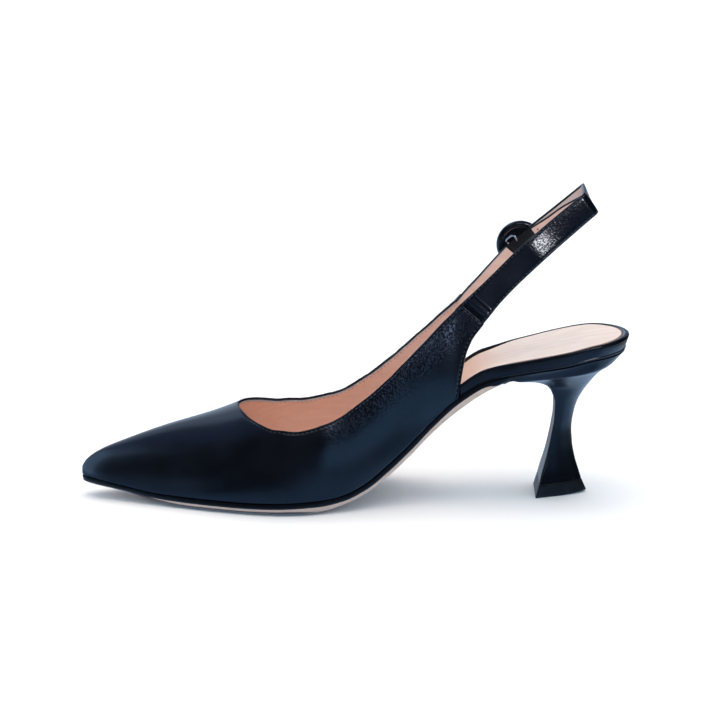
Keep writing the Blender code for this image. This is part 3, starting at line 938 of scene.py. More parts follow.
UPPER_LEATHER = BlackLeather("black_nappa")
STRAP_LEATHER = BlackLeather("strap_nappa", cell=0.85, depth=0.036, roughness=(0.25, 0.30))
HEEL_LEATHER = BlackLeather("heel_nappa", roughness=(0.24, 0.32))
LINING = SoftLining("peach_lining", light=(0.82, 0.55, 0.44), deep=(0.74, 0.46, 0.36))
STRAP_LINING = SoftLining("strap_lining", light=(0.80, 0.61, 0.54), deep=(0.69, 0.51, 0.45))
STRAP_EDGE = SoftLining(
    "strap_edge_paint", light=(0.012, 0.013, 0.018), deep=(0.006, 0.007, 0.011), sheen=0.0
)
RAW_EDGE = SoftLining("lining_raw_edge", light=(0.50, 0.46, 0.47), deep=(0.38, 0.34, 0.36), roughness=0.8)
SOCK = SockLeather("peach_sock", light=(0.86, 0.73, 0.66), deep=(0.74, 0.58, 0.49), width=2.4, length=70.0)
SOCK_EDGE = SoftLining("sock_raw_edge", light=(0.36, 0.21, 0.14), deep=(0.28, 0.15, 0.10))
SOLE_LEATHER = SoleLeather(
    "natural_sole_leather", light=(0.58, 0.47, 0.41), deep=(0.48, 0.38, 0.33), roughness=0.5, sheen=0.0
)
LIFT_RUBBER = Gloss("lift_rubber_black", roughness=(0.42, 0.55), depth=0.02, patch=3.0)
BUTTON_HORN = Gloss("black_horn", roughness=(0.06, 0.12), coat=0.3)
HOOK_METAL = Gloss("polished_steel", (0.62, 0.63, 0.66), (0.78, 0.79, 0.82), (0.10, 0.20), metallic=1.0)
THREAD = Thread("black_thread", (0.008, 0.010, 0.015), (0.022, 0.027, 0.036))
PALE_THREAD = Thread("grey_thread", (0.03, 0.034, 0.044), (0.09, 0.10, 0.125))
LINING_THREAD = Thread("lining_thread", (0.10, 0.09, 0.10), (0.20, 0.18, 0.20), (0.5, 0.7))
ELASTIC = Woven("black_elastic")
# Painted shade that stands in for the depth of the strip's punched hole.
HOLE_SHADE = Gloss("pin_hole_painted_shade", (0.006, 0.004, 0.004), (0.014, 0.010, 0.010), (0.6, 0.8))


# The upper


class Form(NamedTuple):
    """The upper by line and row: the last's surface, its outward directions, distances to the edges."""

    points: Array
    normals: Array
    edges: dict[str, Array]

    def inside(self, depth: float) -> Array:
        """The surface moved inwards."""
        return self.points - self.normals * depth


@dataclass
class Upper:
    """The vamp and quarters over the last: an outer skin of leather, a lining and their stitches."""

    last: Last
    throat: float = 72.0
    sole_corner: float = 172.2
    seam_low_height: float = 82.5
    # The s and the height of a point inside the shoe, from which outwards is told.
    middle: Pair = (90.0, 20.0)
    fan_power: float = 1.5
    way_power: float = 3.0
    lines: int = 104
    middle_rows: int = 22
    edge_points: int = 500
    rear_points: int = 160
    line_points: int = 200
    seam_points: int = 120
    leather: float = 1.0
    lining_gap: float = 0.03
    wall: float = 1.6
    fold: float = 0.5
    foot_fold: float = 0.8
    foot_drop: float = 0.08
    stitch_inset: float = 1.2
    inner_inset: float = 1.7
    raw_band: float = 1.2
    lining_lines: int = 5
    lining_rows: int = 5
    plain_grain: float = 0.2
    grain_run: Pair = (92.0, 130.0)
    grain_fade: Pair = (8.0, 15.0)
    channel: float = 0.14
    channel_width: float = 0.45
    bulge: float = 0.1
    seam: Seam = Seam(spacing=2.1, length=1.3, width=0.3, height=0.26)
    lining_seam: Seam = Seam(spacing=2.1, length=1.2, width=0.26, height=0.2)
    # Where lines start near the ends of an edge, in shares of its length.
    end_shares: Steps = (0.0, 0.0008, 0.0018, 0.003, 0.0045, 0.0062, 0.0085, 0.0115)
    # Rows of points by their distance from the feather line, then from the topline.
    foot_rows: Steps = (0, 0.1, 0.25, 0.45, 0.8, 1.1, 1.4, 1.7, 2.0, 2.3, 2.7, 3.3, 4.2)
    top_rows: Steps = (
        4.6, 3.6, 3.0, 2.6, 2.3, 2.1, 1.9, 1.7, 1.5,
        1.2, 0.9, 0.5, 0.3, 0.15, 0.05, 0,
    )
    topline: tuple[Opening, ...] = rows_of(
        Opening,
        (72.0, 0, 0), (74, 0.30, 0.27), (78, 0.535, 0.50), (84, 0.703, 0.693),
        (90, 0.797, 0.798), (102, 0.853, 0.857), (112, 0.846, 0.858), (124, 0.805, 0.818),
        (136, 0.782, 0.792), (148, 0.743, 0.753), (154, 0.692, 0.700), (160, 0.627, 0.634),
        (166, 0.559, 0.563), (173.0, 0.49, 0.49),
    )
    rear_edge: tuple[RearEdge, ...] = rows_of(
        RearEdge,
        (49.0, 172.2), (60.0, 173.8), (68.0, 175.3), (75.0, 178.0), (82.5, 183.5),
    )

    def top_places(self, side: Side) -> Array:
        """The topline, from the throat to the strap seam.

        Args:
            side: the side of the shoe.

        Returns:
            Places (s, share).
        """
        behind = [math.sqrt(row.s - self.throat) for row in self.topline]
        shares = [row.near if side is Side.NEAR else row.far for row in self.topline]
        steps = np.linspace(0, behind[-1], self.edge_points)
        return np.stack([self.throat + steps**2, Curve(behind, shares).at(steps)], axis=1)

    def foot_places(self) -> Array:
        """The feather line as places (s, share), from the toe to the quarter's rear corner."""
        s = along(np.linspace(0, turn(self.sole_corner), self.edge_points))
        return np.stack([s, np.ones(self.edge_points)], axis=1)

    def rear_places(self) -> Array:
        """The quarter's rear edge, from the sole up to the strap seam.

        Returns:
            Places (s, share).
        """
        foot = float(self.last.value("feather", self.sole_corner))
        heights = np.linspace(foot, self.seam_low_height, self.rear_points)
        s = Curve([row.height for row in self.rear_edge], [row.s for row in self.rear_edge]).at(heights)
        return np.stack([s, self.last.share_at(s, heights)], axis=1)

    def at_shares(self, places: Array, shares: Array, side: Side) -> Array:
        """The places at shares of an edge's length over the last."""
        run = run_of(self.last.point(places[:, 0], places[:, 1], side))
        return read_at(shares * run[-1], run, places)

    def line(self, low: Array, top: Array, side: Side) -> Array:
        """One line over the last, straight in plan, from its foot to the topline.

        Args:
            low: the place (s, share) where it starts.
            top: the place where it ends.
            side: the side of the shoe.

        Returns:
            A point for each row.
        """
        start, end = (np.array([s, share * self.last.half_width(s, side)]) for s, share in (low, top))
        way = np.linspace(0, 1, self.line_points)[:, None] ** self.way_power
        s, offset = (start + (end - start) * way).T
        half = np.maximum(self.last.half_width(s, side), TIP_WIDTH)
        path = self.last.point(s, offset / half, side)
        path[0] = self.last.point(low[0], low[1], side)
        run = run_of(path)
        foot, collar = np.array(self.foot_rows), run[-1] - np.array(self.top_rows)
        middle = np.linspace(foot[-1], collar[0], self.middle_rows + 2)[1:-1]
        return read_at(np.concatenate([foot, middle, collar]), run, path)

    def half(self, side: Side) -> tuple[Array, dict[str, Array]]:
        """One side of the upper.

        Args:
            side: the side of the shoe.

        Returns:
            Its points by line and row, and their distances to its edges by name.
        """
        ends = np.array(self.end_shares)
        even = np.linspace(ends[-1], 1 - ends[-1], self.lines)[1:-1]
        shares = np.concatenate([ends, even, 1 - ends[::-1]])
        low = np.concatenate([self.foot_places(), self.rear_places()[1:]])
        top = self.top_places(side)
        lows, tops = self.at_shares(low, shares, side), self.at_shares(top, shares**self.fan_power, side)
        grid = np.array([self.line(*ends, side) for ends in zip(lows, tops)])
        edges = {"top": top, "rear": self.rear_places(), "foot": self.foot_places()}
        traces = {name: self.last.point(places[:, 0], places[:, 1], side) for name, places in edges.items()}
        rows = grid.shape[1]
        traces["seam"] = read_at(np.linspace(0, 1, self.seam_points), np.linspace(0, 1, rows), grid[-1])
        away = {name: np.array([nearest(line, trace) for line in grid]) for name, trace in traces.items()}
        return grid, away

    @staticmethod
    def rounding(distance: Array, radius: float) -> Array:
        """How far a rounded edge draws in at a distance from it."""
        inside = np.clip(1 - distance / radius, 0, 1)
        return radius * (1 - np.sqrt(1 - inside**2))

    def sewn(self, distance: Array, inset: float) -> Array:
        """How far a stitched edge draws in: a channel at the inset, and a low bulge before it."""
        channel = self.channel * np.exp(-(((distance - inset) / self.channel_width) ** 2))
        return channel - self.bulge * np.sin(np.pi * np.clip(distance / inset, 0, 1))

    def shape(self) -> Form:
        """Both sides together, from the far strap seam round the toe to the near one.

        Returns:
            The form.
        """
        far, far_edges = self.half(Side.FAR)
        near, near_edges = self.half(Side.NEAR)
        points = np.concatenate([far[:0:-1], near])
        edges = {name: np.concatenate([far_edges[name][:0:-1], near_edges[name]]) for name in near_edges}
        normals = unit(np.cross(np.gradient(points, axis=0), np.gradient(points, axis=1)))
        s, height = self.middle
        outward = points - [0, float(self.last.value("centre", s)), height]
        outward[..., 0] = 0
        return Form(points, normals * np.sign((normals * outward).sum(axis=2).mean()), edges)

    def build(self) -> list[Piece]:
        """The leather, the lining and the stitches.

        Returns:
            The pieces.
        """
        form = self.shape()
        edges = form.edges
        folds = {"top": self.fold, "rear": self.fold, "seam": self.fold, "foot": self.foot_fold}
        drawn_in = np.max([self.rounding(edges[name], radius) for name, radius in folds.items()], axis=0)
        sewn = self.sewn(edges["top"], self.stitch_inset)
        sewn = np.where(edges["rear"] < edges["top"], self.sewn(edges["rear"], self.stitch_inset), sewn)
        outer = form.points - form.normals * (drawn_in + sewn)[..., None]
        outer[..., 2] -= self.foot_drop * np.clip(1 - edges["foot"] / self.foot_fold, 0, 1)
        return [
            self.leather_skin(form, outer),
            self.lining_skin(form),
            self.stitches(form, outer),
            self.lining_stitches(form),
        ]

    def leather_skin(self, form: Form, outer: Array) -> Piece:
        """The outer leather as one wall with folded edges.

        Args:
            form: the upper's form.
            outer: the leather's outer face.

        Returns:
            The piece.
        """
        inner = form.inside(self.leather)[:, ::2]
        rings = np.concatenate([outer[:, ::-1], inner], axis=1)
        edge = np.min([form.edges[name] for name in ("top", "rear", "seam")], axis=0)
        hidden = np.full(inner.shape[:2], FAR_FROM_EDGE)
        marks, below = (np.hstack([rows[:, ::-1], hidden]) for rows in (edge, form.edges["top"]))
        shown = smoothstep(rings[..., 0] + LENGTH / 2, *self.grain_run)
        shown = shown * (1 - smoothstep(below, *self.grain_fade))
        grain = self.plain_grain + (1 - self.plain_grain) * shown
        bm = sleeve(rings, marks={"edge": marks, "grain": grain})
        return dress("upper_skin", bm, [UPPER_LEATHER], Slot.UPPER, "upper", Sharp.FOLDED)

    def lining_skin(self, form: Form) -> Piece:
        """The lining, whose raw edge shows just below the folded edge of the leather.

        Args:
            form: the upper's form.

        Returns:
            The piece.
        """
        kept = slice(self.lining_lines, -self.lining_lines), slice(0, -self.lining_rows)
        outer, inner = form.inside(self.leather + self.lining_gap)[kept], form.inside(self.wall)[kept]
        rings = np.concatenate([outer[:, ::-1], inner], axis=1)
        around = rings.shape[1]
        top = self.top_rows[-1 - self.lining_rows]
        raw_rows = sum(top <= row <= self.raw_band for row in self.top_rows)

        def slot_of(ring: int, step: int) -> int:
            """The raw edge on the upper rim and on a narrow band below it."""
            return int(step >= around - raw_rows)

        bm = sleeve(rings, slot_of)
        return dress("upper_lining", bm, [LINING, RAW_EDGE], Slot.STRIP, None, Sharp.FOLDED)

    def trace(
        self, surface: Array, normals: Array, distance: Array, inset: float, at_end: bool
    ) -> tuple[Array, Array]:
        """A line on a surface that keeps its distance from an edge.

        Args:
            surface: points by line and row.
            normals: the surface's directions there.
            distance: their distances to the edge.
            inset: the distance that the line keeps.
            at_end: whether the edge is at the last rows or at the first rows.

        Returns:
            Its points, and the surface's direction at each.
        """
        found, ways = [], []
        step = -1 if at_end else 1
        for line, directions, away in zip(surface[:, ::step], normals[:, ::step], distance[:, ::step]):
            crossings = np.nonzero((away[:-1] <= inset) & (inset < away[1:]))[0]
            if len(crossings):
                k = crossings[0]
                u = (inset - away[k]) / (away[k + 1] - away[k])
                found.append(line[k] + (line[k + 1] - line[k]) * u)
                ways.append(directions[k])
        return np.array(found), np.array(ways)

    def lining_stitches(self, form: Form) -> Piece:
        """The seam along the topline, where it comes out on the lining.

        Args:
            form: the upper's form.

        Returns:
            The piece.
        """
        bm = bmesh.new()
        found = self.trace(form.inside(self.wall), -form.normals, form.edges["top"], self.inner_inset, True)
        self.lining_seam.sew(bm, *found)
        return dress("lining_stitches", bm, [LINING_THREAD], Slot.UPPER, None, Sharp.SEWN)

    def stitches(self, form: Form, outer: Array) -> Piece:
        """Stitches along the topline, the quarters' rear edges and the strap seams.

        Args:
            form: the upper's form.
            outer: the leather's outer face.

        Returns:
            The piece.
        """
        bm, edges = bmesh.new(), form.edges
        self.seam.sew(bm, *self.trace(outer, form.normals, edges["top"], self.stitch_inset, True))
        for lines, at_end in ((slice(0, self.lines), False), (slice(-self.lines, None), True)):
            quarter, ways = outer[lines], form.normals[lines]
            self.seam.sew(bm, *self.trace(quarter, ways, edges["rear"][lines], self.stitch_inset, False))
            across = quarter.swapaxes(0, 1), ways.swapaxes(0, 1), edges["seam"][lines].T
            self.seam.sew(bm, *self.trace(*across, self.stitch_inset, at_end))
        return dress("upper_stitches", bm, [PALE_THREAD], Slot.UPPER, None, Sharp.SEWN)


# The bottom


@dataclass
class Bottom:
    """The outsole, the rim of the heel seat and the sock."""

    last: Last
    count: int = 150
    sole_gap: float = 0.12
    sole_bead: float = 0.25
    # Shares of the edge's height, going down, and of the bead that stands out there.
    edge_shape: Rows = (
        (0, 0), (0.06, 0.6), (0.2, 0.92), (0.45, 1),
        (0.7, 1), (0.88, 0.9), (0.97, 0.5), (1, 0),
    )
    bevel: float = 6.0
    bevel_at_tip: float = 0.45
    # Shares of the bevel's width, going in, and of its fall.
    bevel_shape: Rows = ((0.01, 0.02), (0.03, 0.22), (0.08, 0.45), (0.20, 0.68), (0.45, 0.90), (1.0, 1.0))
    tread_step: float = 0.05
    clearance: float = 0.1
    upper_wall: float = 1.6
    sock_thickness: float = 1.0
    sock_inset: float = 2.2
    sock_edge: float = 0.6
    # How far in and how far down the sock's rounded edge goes, in shares of sock_edge.
    sock_shape: Rows = ((3, 0), (1, 0), (0.3, 0.15), (0, 0.6))
    # Rows of s and a height: the sock's sinking, then the rise of the rim's bead on each side.
    sink_rows: Rows = ((120, 0), (170, 2.2), (185, 1.9), (200, 1.15), (250, 1.15))
    near_rise: Rows = ((172, 0), (236, 0), (250, 0.1))
    far_rise: Rows = ((172, 0.9), (181, 0.74), (190, 0.4), (200, 0.18), (212, 0.1), (250, 0.1))
    back_run: Pair = (222.0, 246.0)
    back_bead: float = 0.4
    rim_taper: Pair = (0.4, 1.6)
    taper_run: Pair = (205.0, 242.0)
    rim_lip: float = 0.22
    rim_shelf: float = 0.2
    rim_grain: float = 0.2
    rim_foot: Steps = (0.95, 0.65, 0.4, 0.12, 0.0)
    # Rows of s and a distance below the foot of the sole's edge: where the paint ends, where the lip's
    # painted contact shade starts.
    paint_rows: Rows = ((0, 0.5), (172, 0.4), (183, 0.3), (188, 1.3), (193, 9))
    lip_rows: Rows = ((0, 0), (28, 0), (36, 0.8), (48, 1.7), (94, 1.7), (126, 6))
    warm_run: Pair = (178.0, 197.0)
    # Distances out from the feather line and up from the board's top.
    bead: Rows = (
        (-2.25, -1.2), (-2.1, -0.55), (-1.85, -0.2), (-1.45, -0.03), (-1.1, 0.0),
        (-0.7, -0.1), (-0.35, -0.35), (-0.1, -0.75), (0.0, -1.3),
    )
    board_foot: float = 0.5
    board_toe: float = 6.0
    sock_toe: float = 9.0
    rim_start: float = 172.6
    rim_full: float = 173.2
    sole_rows: tuple[SoleRow, ...] = rows_of(
        SoleRow,
        (0, 1.4, 7.7, -0.35),
        (20, 1.5, 4.3, -0.3),
        (35, 1.6, 1.2, 0.0),
        (50, 1.7, 0, 0.3),
        (104, 1.7, 0, 0.4),
        (112, 1.75, 0.8, 0.35),
        (120, 1.8, 2.6, 0.2),
        (130, 1.9, 6.6, 0.1),
        (140, 2.0, 13.4, 0),
        (150, 2.0, 22.0, -0.2),
        (160, 1.9, 32.0, -0.3),
        (172, 2.0, 42.1, -0.3),
        (183, 1.9, 50.0, -0.4),
        (193, 1.3, 55.8, -0.8),
        (200, 0.5, 60.2, -1.3),
        (220, 0.3, 64.5, -1.6),
        (235, 0.3, 67.4, -2.0),
        (250, 0.3, 68.6, -2.4),
    )
    board_rows: tuple[BoardRow, ...] = rows_of(
        BoardRow,
        (0, 1.8, 0.3),
        (110, 2.0, 0.3),
        (150, 3.6, 0.5),
        (173.2, 4.5, 1.2),
        (185, 5.4, 1.6),
        (200, 5.4, 1.8),
        (220, 6.1, 1.8),
        (235, 6.35, 1.8),
        (250, 6.9, 1.8),
    )
    sole: dict[str, Curve] = field(init=False)
    board: dict[str, Curve] = field(init=False)

    def __post_init__(self) -> None:
        """Makes a curve of each column."""
        self.sole, self.board = by_length(self.sole_rows), by_length(self.board_rows)

    def ring(self, s: float, margins: Sequence[float], heights: Callable[[float], Sequence[float]]) -> list:
        """A ring of a sole layer, down the near side and up the far side.

        Args:
            s: the place along the shoe.
            margins: distances outwards from the feather line.
            heights: gives a height for each margin at a place along the shoe.

        Returns:
            The ring's points.
        """
        order = range(len(margins))
        points = []
        for side, steps in ((Side.NEAR, order), (Side.FAR, order[::-1])):
            for k in steps:
                x, y = self.last.outline(s, side, margins[k])
                points.append((x, y, heights(x + LENGTH / 2)[k]))
        return points

    def sole_heights(self, s: float) -> Triple:
        """Heights of the outsole.

        Args:
            s: the place along the shoe.

        Returns:
            Its top, the foot of its edge and its tread.
        """
        steep = self.last.steep(s)
        top = float(self.last.value("feather", s)) - self.sole_gap * steep
        low = top - float(self.sole["edge"].at(turn(s))) * steep
        return top, low, min(float(self.sole["tread"].at(turn(s))), low - self.tread_step)

    def sole_profile(self, s: float) -> list[float]:
        """Heights of the outsole's profile, from the hidden top in to the tread."""
        top, low, tread = self.sole_heights(s)
        return [
            top,
            *(top - (top - low) * down for down, _ in self.edge_shape),
            *(low + (tread - low) * fall for _, fall in self.bevel_shape),
        ]

    def sole_margins(self, s: float) -> list[float]:
        """The outsole's profile in plan.

        Args:
            s: the place along the shoe.

        Returns:
            Its distances from the feather line.
        """
        reach = float(self.sole["reach"].at(turn(s)))
        bevel = min(self.bevel, self.bevel_at_tip * float(self.last.half_width(s, Side.NEAR)))
        bead = [reach + self.sole_bead * out for _, out in self.edge_shape]
        slope = [reach - bevel * inward for inward, _ in self.bevel_shape]
        return [reach - bevel, *bead, *slope]

    def outsole(self) -> Piece:
        """The leather sole: a painted edge over a natural bevel and tread.

        Returns:
            The piece.
        """
        places = np.array(stations(0, LENGTH, self.count))
        rings = np.array([self.ring(s, self.sole_margins(s), self.sole_profile) for s in places])
        half = rings.shape[1] // 2
        steps = np.linalg.norm(np.diff(rings[:, :half], axis=1), axis=2)
        run = np.concatenate([np.zeros((len(places), 1)), np.cumsum(steps, axis=1)], axis=1)
        below = run - run[:, len(self.edge_shape), None]
        bare = below - along_rows(self.paint_rows, places)[:, None]
        # The 'lip' mark places the painted contact shade: on the lower bevel, and right from the edge's foot
        # at the toe.
        lip = np.minimum(below - along_rows(self.lip_rows, places)[:, None], below[:, -2, None] - below)
        marks = {"bare": bare, "lip": lip}
        bm = sleeve(rings, marks={name: np.hstack([rows, rows[:, ::-1]]) for name, rows in marks.items()})
        return dress("sole_leather_layer", bm, [SOLE_LEATHER], Slot.SOLE, "outsole", Sharp.CUT)

    def board_top(self, s: float) -> float:
        """Height of the insole board's top."""
        thickness = float(self.board["thickness"].at(turn(s)))
        return float(self.last.value("feather", s)) + thickness * self.last.steep(s)

    def inside_wall(self, s: float, height: float) -> float:
        """How far inside the feather line a layer stays to clear the upper's wall.

        Args:
            s: the place along the shoe.
            height: the height up to which it clears the wall.

        Returns:
            The distance.
        """
        lean = 0.0
        for side in Side:
            point = self.last.point(s, self.last.share_at(s, height), side)
            across = abs(float(point[1] - self.last.value("centre", s)))
            lean = max(lean, float(self.last.half_width(s, side)) - across)
        return lean + self.upper_wall + 2 * self.clearance

    def sock_heights(self, s: float) -> Pair:
        """Heights of the sock, which sinks towards the heel, behind the rim's bead.

        Args:
            s: the place along the shoe.

        Returns:
            Its top and its foot.
        """
        steep = self.last.steep(s)
        above = (self.clearance + self.sock_thickness) * steep
        top = self.board_top(s) + above - float(along_rows(self.sink_rows, s))
        return top, top - self.sock_thickness * steep

    def rim_profile(self, s: float) -> list[float]:
        """The rim's profile: the board's top, the bead, the side and the foot.

        Args:
            s: the place along the shoe.

        Returns:
            Its heights.
        """
        foot, shelf = float(self.last.value("feather", s)), self.sock_heights(s)[1] - self.clearance
        shown = float(smoothstep(s, self.rim_start, self.rim_full))
        bead = [shelf + shown * (self.board_top(s) + fall - shelf) for _, fall in self.bead]
        return [shelf, *bead, *(foot + rise for rise in self.rim_foot)]

    def rim_margins(self, s: float) -> list[float]:
        """The rim's profile in plan: bead, side, a small lip and foot.

        Args:
            s: the place along the shoe.

        Returns:
            Its distances from the feather line.
        """
        reach = -self.inside_wall(s, self.board_top(s)) if s < self.rim_full else 0.0
        low = reach - self.rim_inset(s)
        bead = [reach + inward * self.widening(s) for inward, _ in self.bead]
        lip = low + self.rim_lip
        return [bead[0] - self.rim_shelf, *bead, low, lip, lip, low, low - self.board_foot]

    def rim_inset(self, s: float) -> float:
        """How far inside the feather line the rim's side ends at its foot."""
        narrow, wide = self.rim_taper
        return narrow + (wide - narrow) * float(smoothstep(s, *self.taper_run))

    def widening(self, s: float) -> float:
        """How much wider the bead is towards the back of the heel."""
        return 1 + self.back_bead * float(smoothstep(s, *self.back_run))

    def rim(self) -> Piece:
        """The insole board, covered in black leather where it shows round the heel seat.

        Returns:
            The piece.
        """
        places = stations(self.board_toe, LENGTH, self.count, (self.rim_start, self.rim_full))
        rings = np.array([self.ring(s, self.rim_margins(s), self.rim_profile) for s in places])
        shown = smoothstep(places, self.rim_start, self.rim_full)
        bead_end = len(self.bead) + 1
        for rises, crest in ((self.near_rise, slice(2, bead_end)), (self.far_rise, slice(-bead_end, -2))):
            rings[:, crest, 2] += (along_rows(rises, places) * shown)[:, None]
        marks = plain_marks(rings, self.rim_grain)
        bm = sleeve(rings, marks=marks)
        return dress("seat_rim", bm, [UPPER_LEATHER], Slot.RIM, "insole_board", Sharp.CUT)

    def sock_profile(self, s: float) -> list[float]:
        """Heights of the sock's profile: its top, its rounded edge and its foot."""
        top, foot = self.sock_heights(s)
        return [*(top - fall * self.sock_edge for _, fall in self.sock_shape), foot]

    def sock_margins(self, s: float) -> list[float]:
        """The sock's profile in plan, inside the upper's wall and then inside the rim's bead.

        Args:
            s: the place along the shoe.

        Returns:
            Its distances from the feather line.
        """
        if s < self.rim_full:
            reach = -self.inside_wall(s, self.sock_heights(s)[0])
        else:
            reach = -self.sock_inset * self.widening(s)
        return [*(reach - inward * self.sock_edge for inward, _ in self.sock_shape), reach]

    def sock(self) -> Piece:
        """The sock that lines the inside of the sole.

        Returns:
            The piece.
        """
        places = stations(self.sock_toe, LENGTH, self.count, (self.rim_start, self.rim_full))
        rings = np.array([self.ring(s, self.sock_margins(s), self.sock_profile) for s in places])
        around, cut = rings.shape[1], len(self.sock_shape)

        def slot_of(ring: int, step: int) -> int:
            """The cut edge along both sides, the sock's own face on the rest."""
            return int(0 < min(step, around - 2 - step) < cut)

        # Painted shade and reflected lining colour: the sock's front takes the deeper tone.
        front_shade = 1 - smoothstep(rings[..., 0] + LENGTH / 2, *self.warm_run)
        bm = sleeve(rings, slot_of, {"front_shade": front_shade})
        return dress("sock_layer", bm, [SOCK, SOCK_EDGE], Slot.SOCK, "insole", Sharp.CUT)

    def under_sole(self, s: float) -> float:
        """Height of the heel's top below the sole."""
        return self.sole_heights(s)[2] - self.clearance * self.last.steep(s)

    def build(self) -> list[Piece]:
        """The pieces from the floor up."""
        return [self.outsole(), self.rim(), self.sock()]


# The heel


@dataclass
class Heel:
    """The covered heel and its top lift."""

    bottom: Bottom
    rings: int = 66
    steps: int = 26
    seat_points: int = 140
    grain: float = 0.15
    corner: float = 0.7
    # A point on the breast's corner, in shares of the corner and of the half width.
    corner_cut: Pair = (0.3, 0.975)
    flat: float = 0.55
    lift_rings: int = 5
    lift_rise: float = 0.9
    lift_bevel: float = 0.35
    seat_gap: float = 0.25
    seat_run: Pair = (186.0, 250.0)
    front_inset: float = 2.6
    front_run: Pair = (194.0, 206.0)
    breast_steps: Steps = (0.2, 0.45, 0.7, 0.9)
    rows: tuple[HeelRing, ...] = rows_of(
        HeelRing,
        (209.7, 6.6, 229.4, 6.6, 11.4, 0.70, 5.0),
        (210.7, 11.0, 228.0, 11.0, 10.4, 0.65, 4.5),
        (212.4, 17.0, 226.2, 17.0, 9.3, 0.55, 4.0),
        (213.9, 23.5, 225.0, 23.5, 8.6, 0.45, 3.5),
        (215.3, 31.0, 224.5, 31.0, 8.3, 0.35, 3.0),
        (216.2, 37.5, 225.3, 37.5, 8.6, 0.25, 2.8),
        (216.3, 43.5, 227.0, 43.7, 9.6, 0.15, 2.8),
        (215.2, 48.4, 229.8, 49.0, 11.4, 0.00, 3.0),
        (213.0, 52.7, 233.0, 53.6, 13.8, -0.15, 3.2),
        (209.7, 55.0, 236.0, 57.6, 16.4, -0.27, 3.5),
        (205.2, 56.3, 239.6, 61.2, 18.8, -0.36, 3.8),
        (199.0, 56.8, 243.9, 64.2, 20.8, -0.42, 4.0),
        (192.3, 56.0, 248.1, 67.6, 19.4, -0.45, 4.0),
    )
    lift_top: HeelRing = HeelRing(209.6, 6.3, 229.5, 6.3, 11.7, 0.72, 5.0)
    lift_foot: HeelRing = HeelRing(207.9, 0, 231.9, 0, 13.0, 0.75, 6.0)
    seat: Array = field(init=False)

    def __post_init__(self) -> None:
        """Works out the outline of the heel's top edge, just inside the foot of the rim."""
        places = along(np.linspace(*turn(self.seat_run), self.seat_points))
        drawn_in = self.front_inset * (1 - smoothstep(places, *self.front_run))
        insets = [self.bottom.rim_inset(s) + self.seat_gap + more for s, more in zip(places, drawn_in)]
        rows = [self.bottom.last.outline(s, Side.FAR, -inset) for s, inset in zip(places, insets)]
        self.seat = np.array(rows)

    def ring(self, row: HeelRing, rise: float = 0.0, seat: float = 0.0) -> list[Triple]:
        """A D of the heel: flat at the breast, narrowing to a round back.

        Args:
            row: the ring's sizes.
            rise: how far the foot of the back is lifted.
            seat: how much the ring follows the sole above it, from 0 to 1.

        Returns:
            The ring's points.
        """
        side = []
        for share in np.sin(np.linspace(0, math.pi / 2, self.steps)):
            half = row.width * (1 - row.taper * share) * max(0.0, 1 - share**row.square) ** 0.5
            s = row.front_s + (row.back_s - row.front_s) * share
            half += seat * (float(np.interp(s - LENGTH / 2, *self.seat.T, right=0.0)) - half)
            z = row.front_z + (row.back_z - row.front_z) * share
            z += rise * max(0.0, (share - self.flat) / (1 - self.flat))
            side.append((s - LENGTH / 2, half, z + seat * (self.bottom.under_sole(s) - z)))
        (front, half, height), *rest = side
        breast = [(front, row.width * k, height) for k in self.breast_steps]
        ahead, aside = self.corner_cut
        cut = [(front + self.corner * ahead, row.width * aside, height), (front + self.corner, half, height)]
        far = [*breast, *cut, *rest]
        return [*far, *((x, -y, z) for x, y, z in far[-2::-1])]

    def build(self) -> list[Piece]:
        """The covered heel and the lift below it.

        Returns:
            The pieces.
        """
        order = range(len(self.rows))
        curves = [Curve(order, [row[k] for row in self.rows]) for k in range(len(self.rows[0]))]
        rings = []
        for place in np.linspace(0, order[-1], self.rings):
            row = HeelRing(*(float(curve.at(place)) for curve in curves))
            blend = max(0.0, place - order[-2])
            rings.append(self.ring(row, seat=blend * blend * (3 - 2 * blend)))
        rings = np.array(rings)
        bm = sleeve(rings, marks=plain_marks(rings, self.grain))
        return [dress("heel_cover", bm, [HEEL_LEATHER], Slot.HEEL, "heel", Sharp.TURNED), self.lift()]

    def lift(self) -> Piece:
        """The top lift that stands on the floor.

        Returns:
            The piece.
        """
        foot = np.array(self.ring(self.lift_foot, self.lift_rise))
        top = np.array(self.ring(self.lift_top))
        shares = np.linspace(0, 1, self.lift_rings)[:, None, None]
        bm = sleeve(foot + (top - foot) * shares)
        edges = [edge for edge in bm.edges if edge.calc_face_angle(0.0) > math.radians(Sharp.TURNED)]
        bmesh.ops.bevel(
            bm, geom=edges, offset=self.lift_bevel * MM, segments=2, profile=0.5, affect="EDGES", material=-1
        )
        return dress("heel_lift", bm, [LIFT_RUBBER], Slot.LIFT, "top_lift", Sharp.CUT)


# Straps


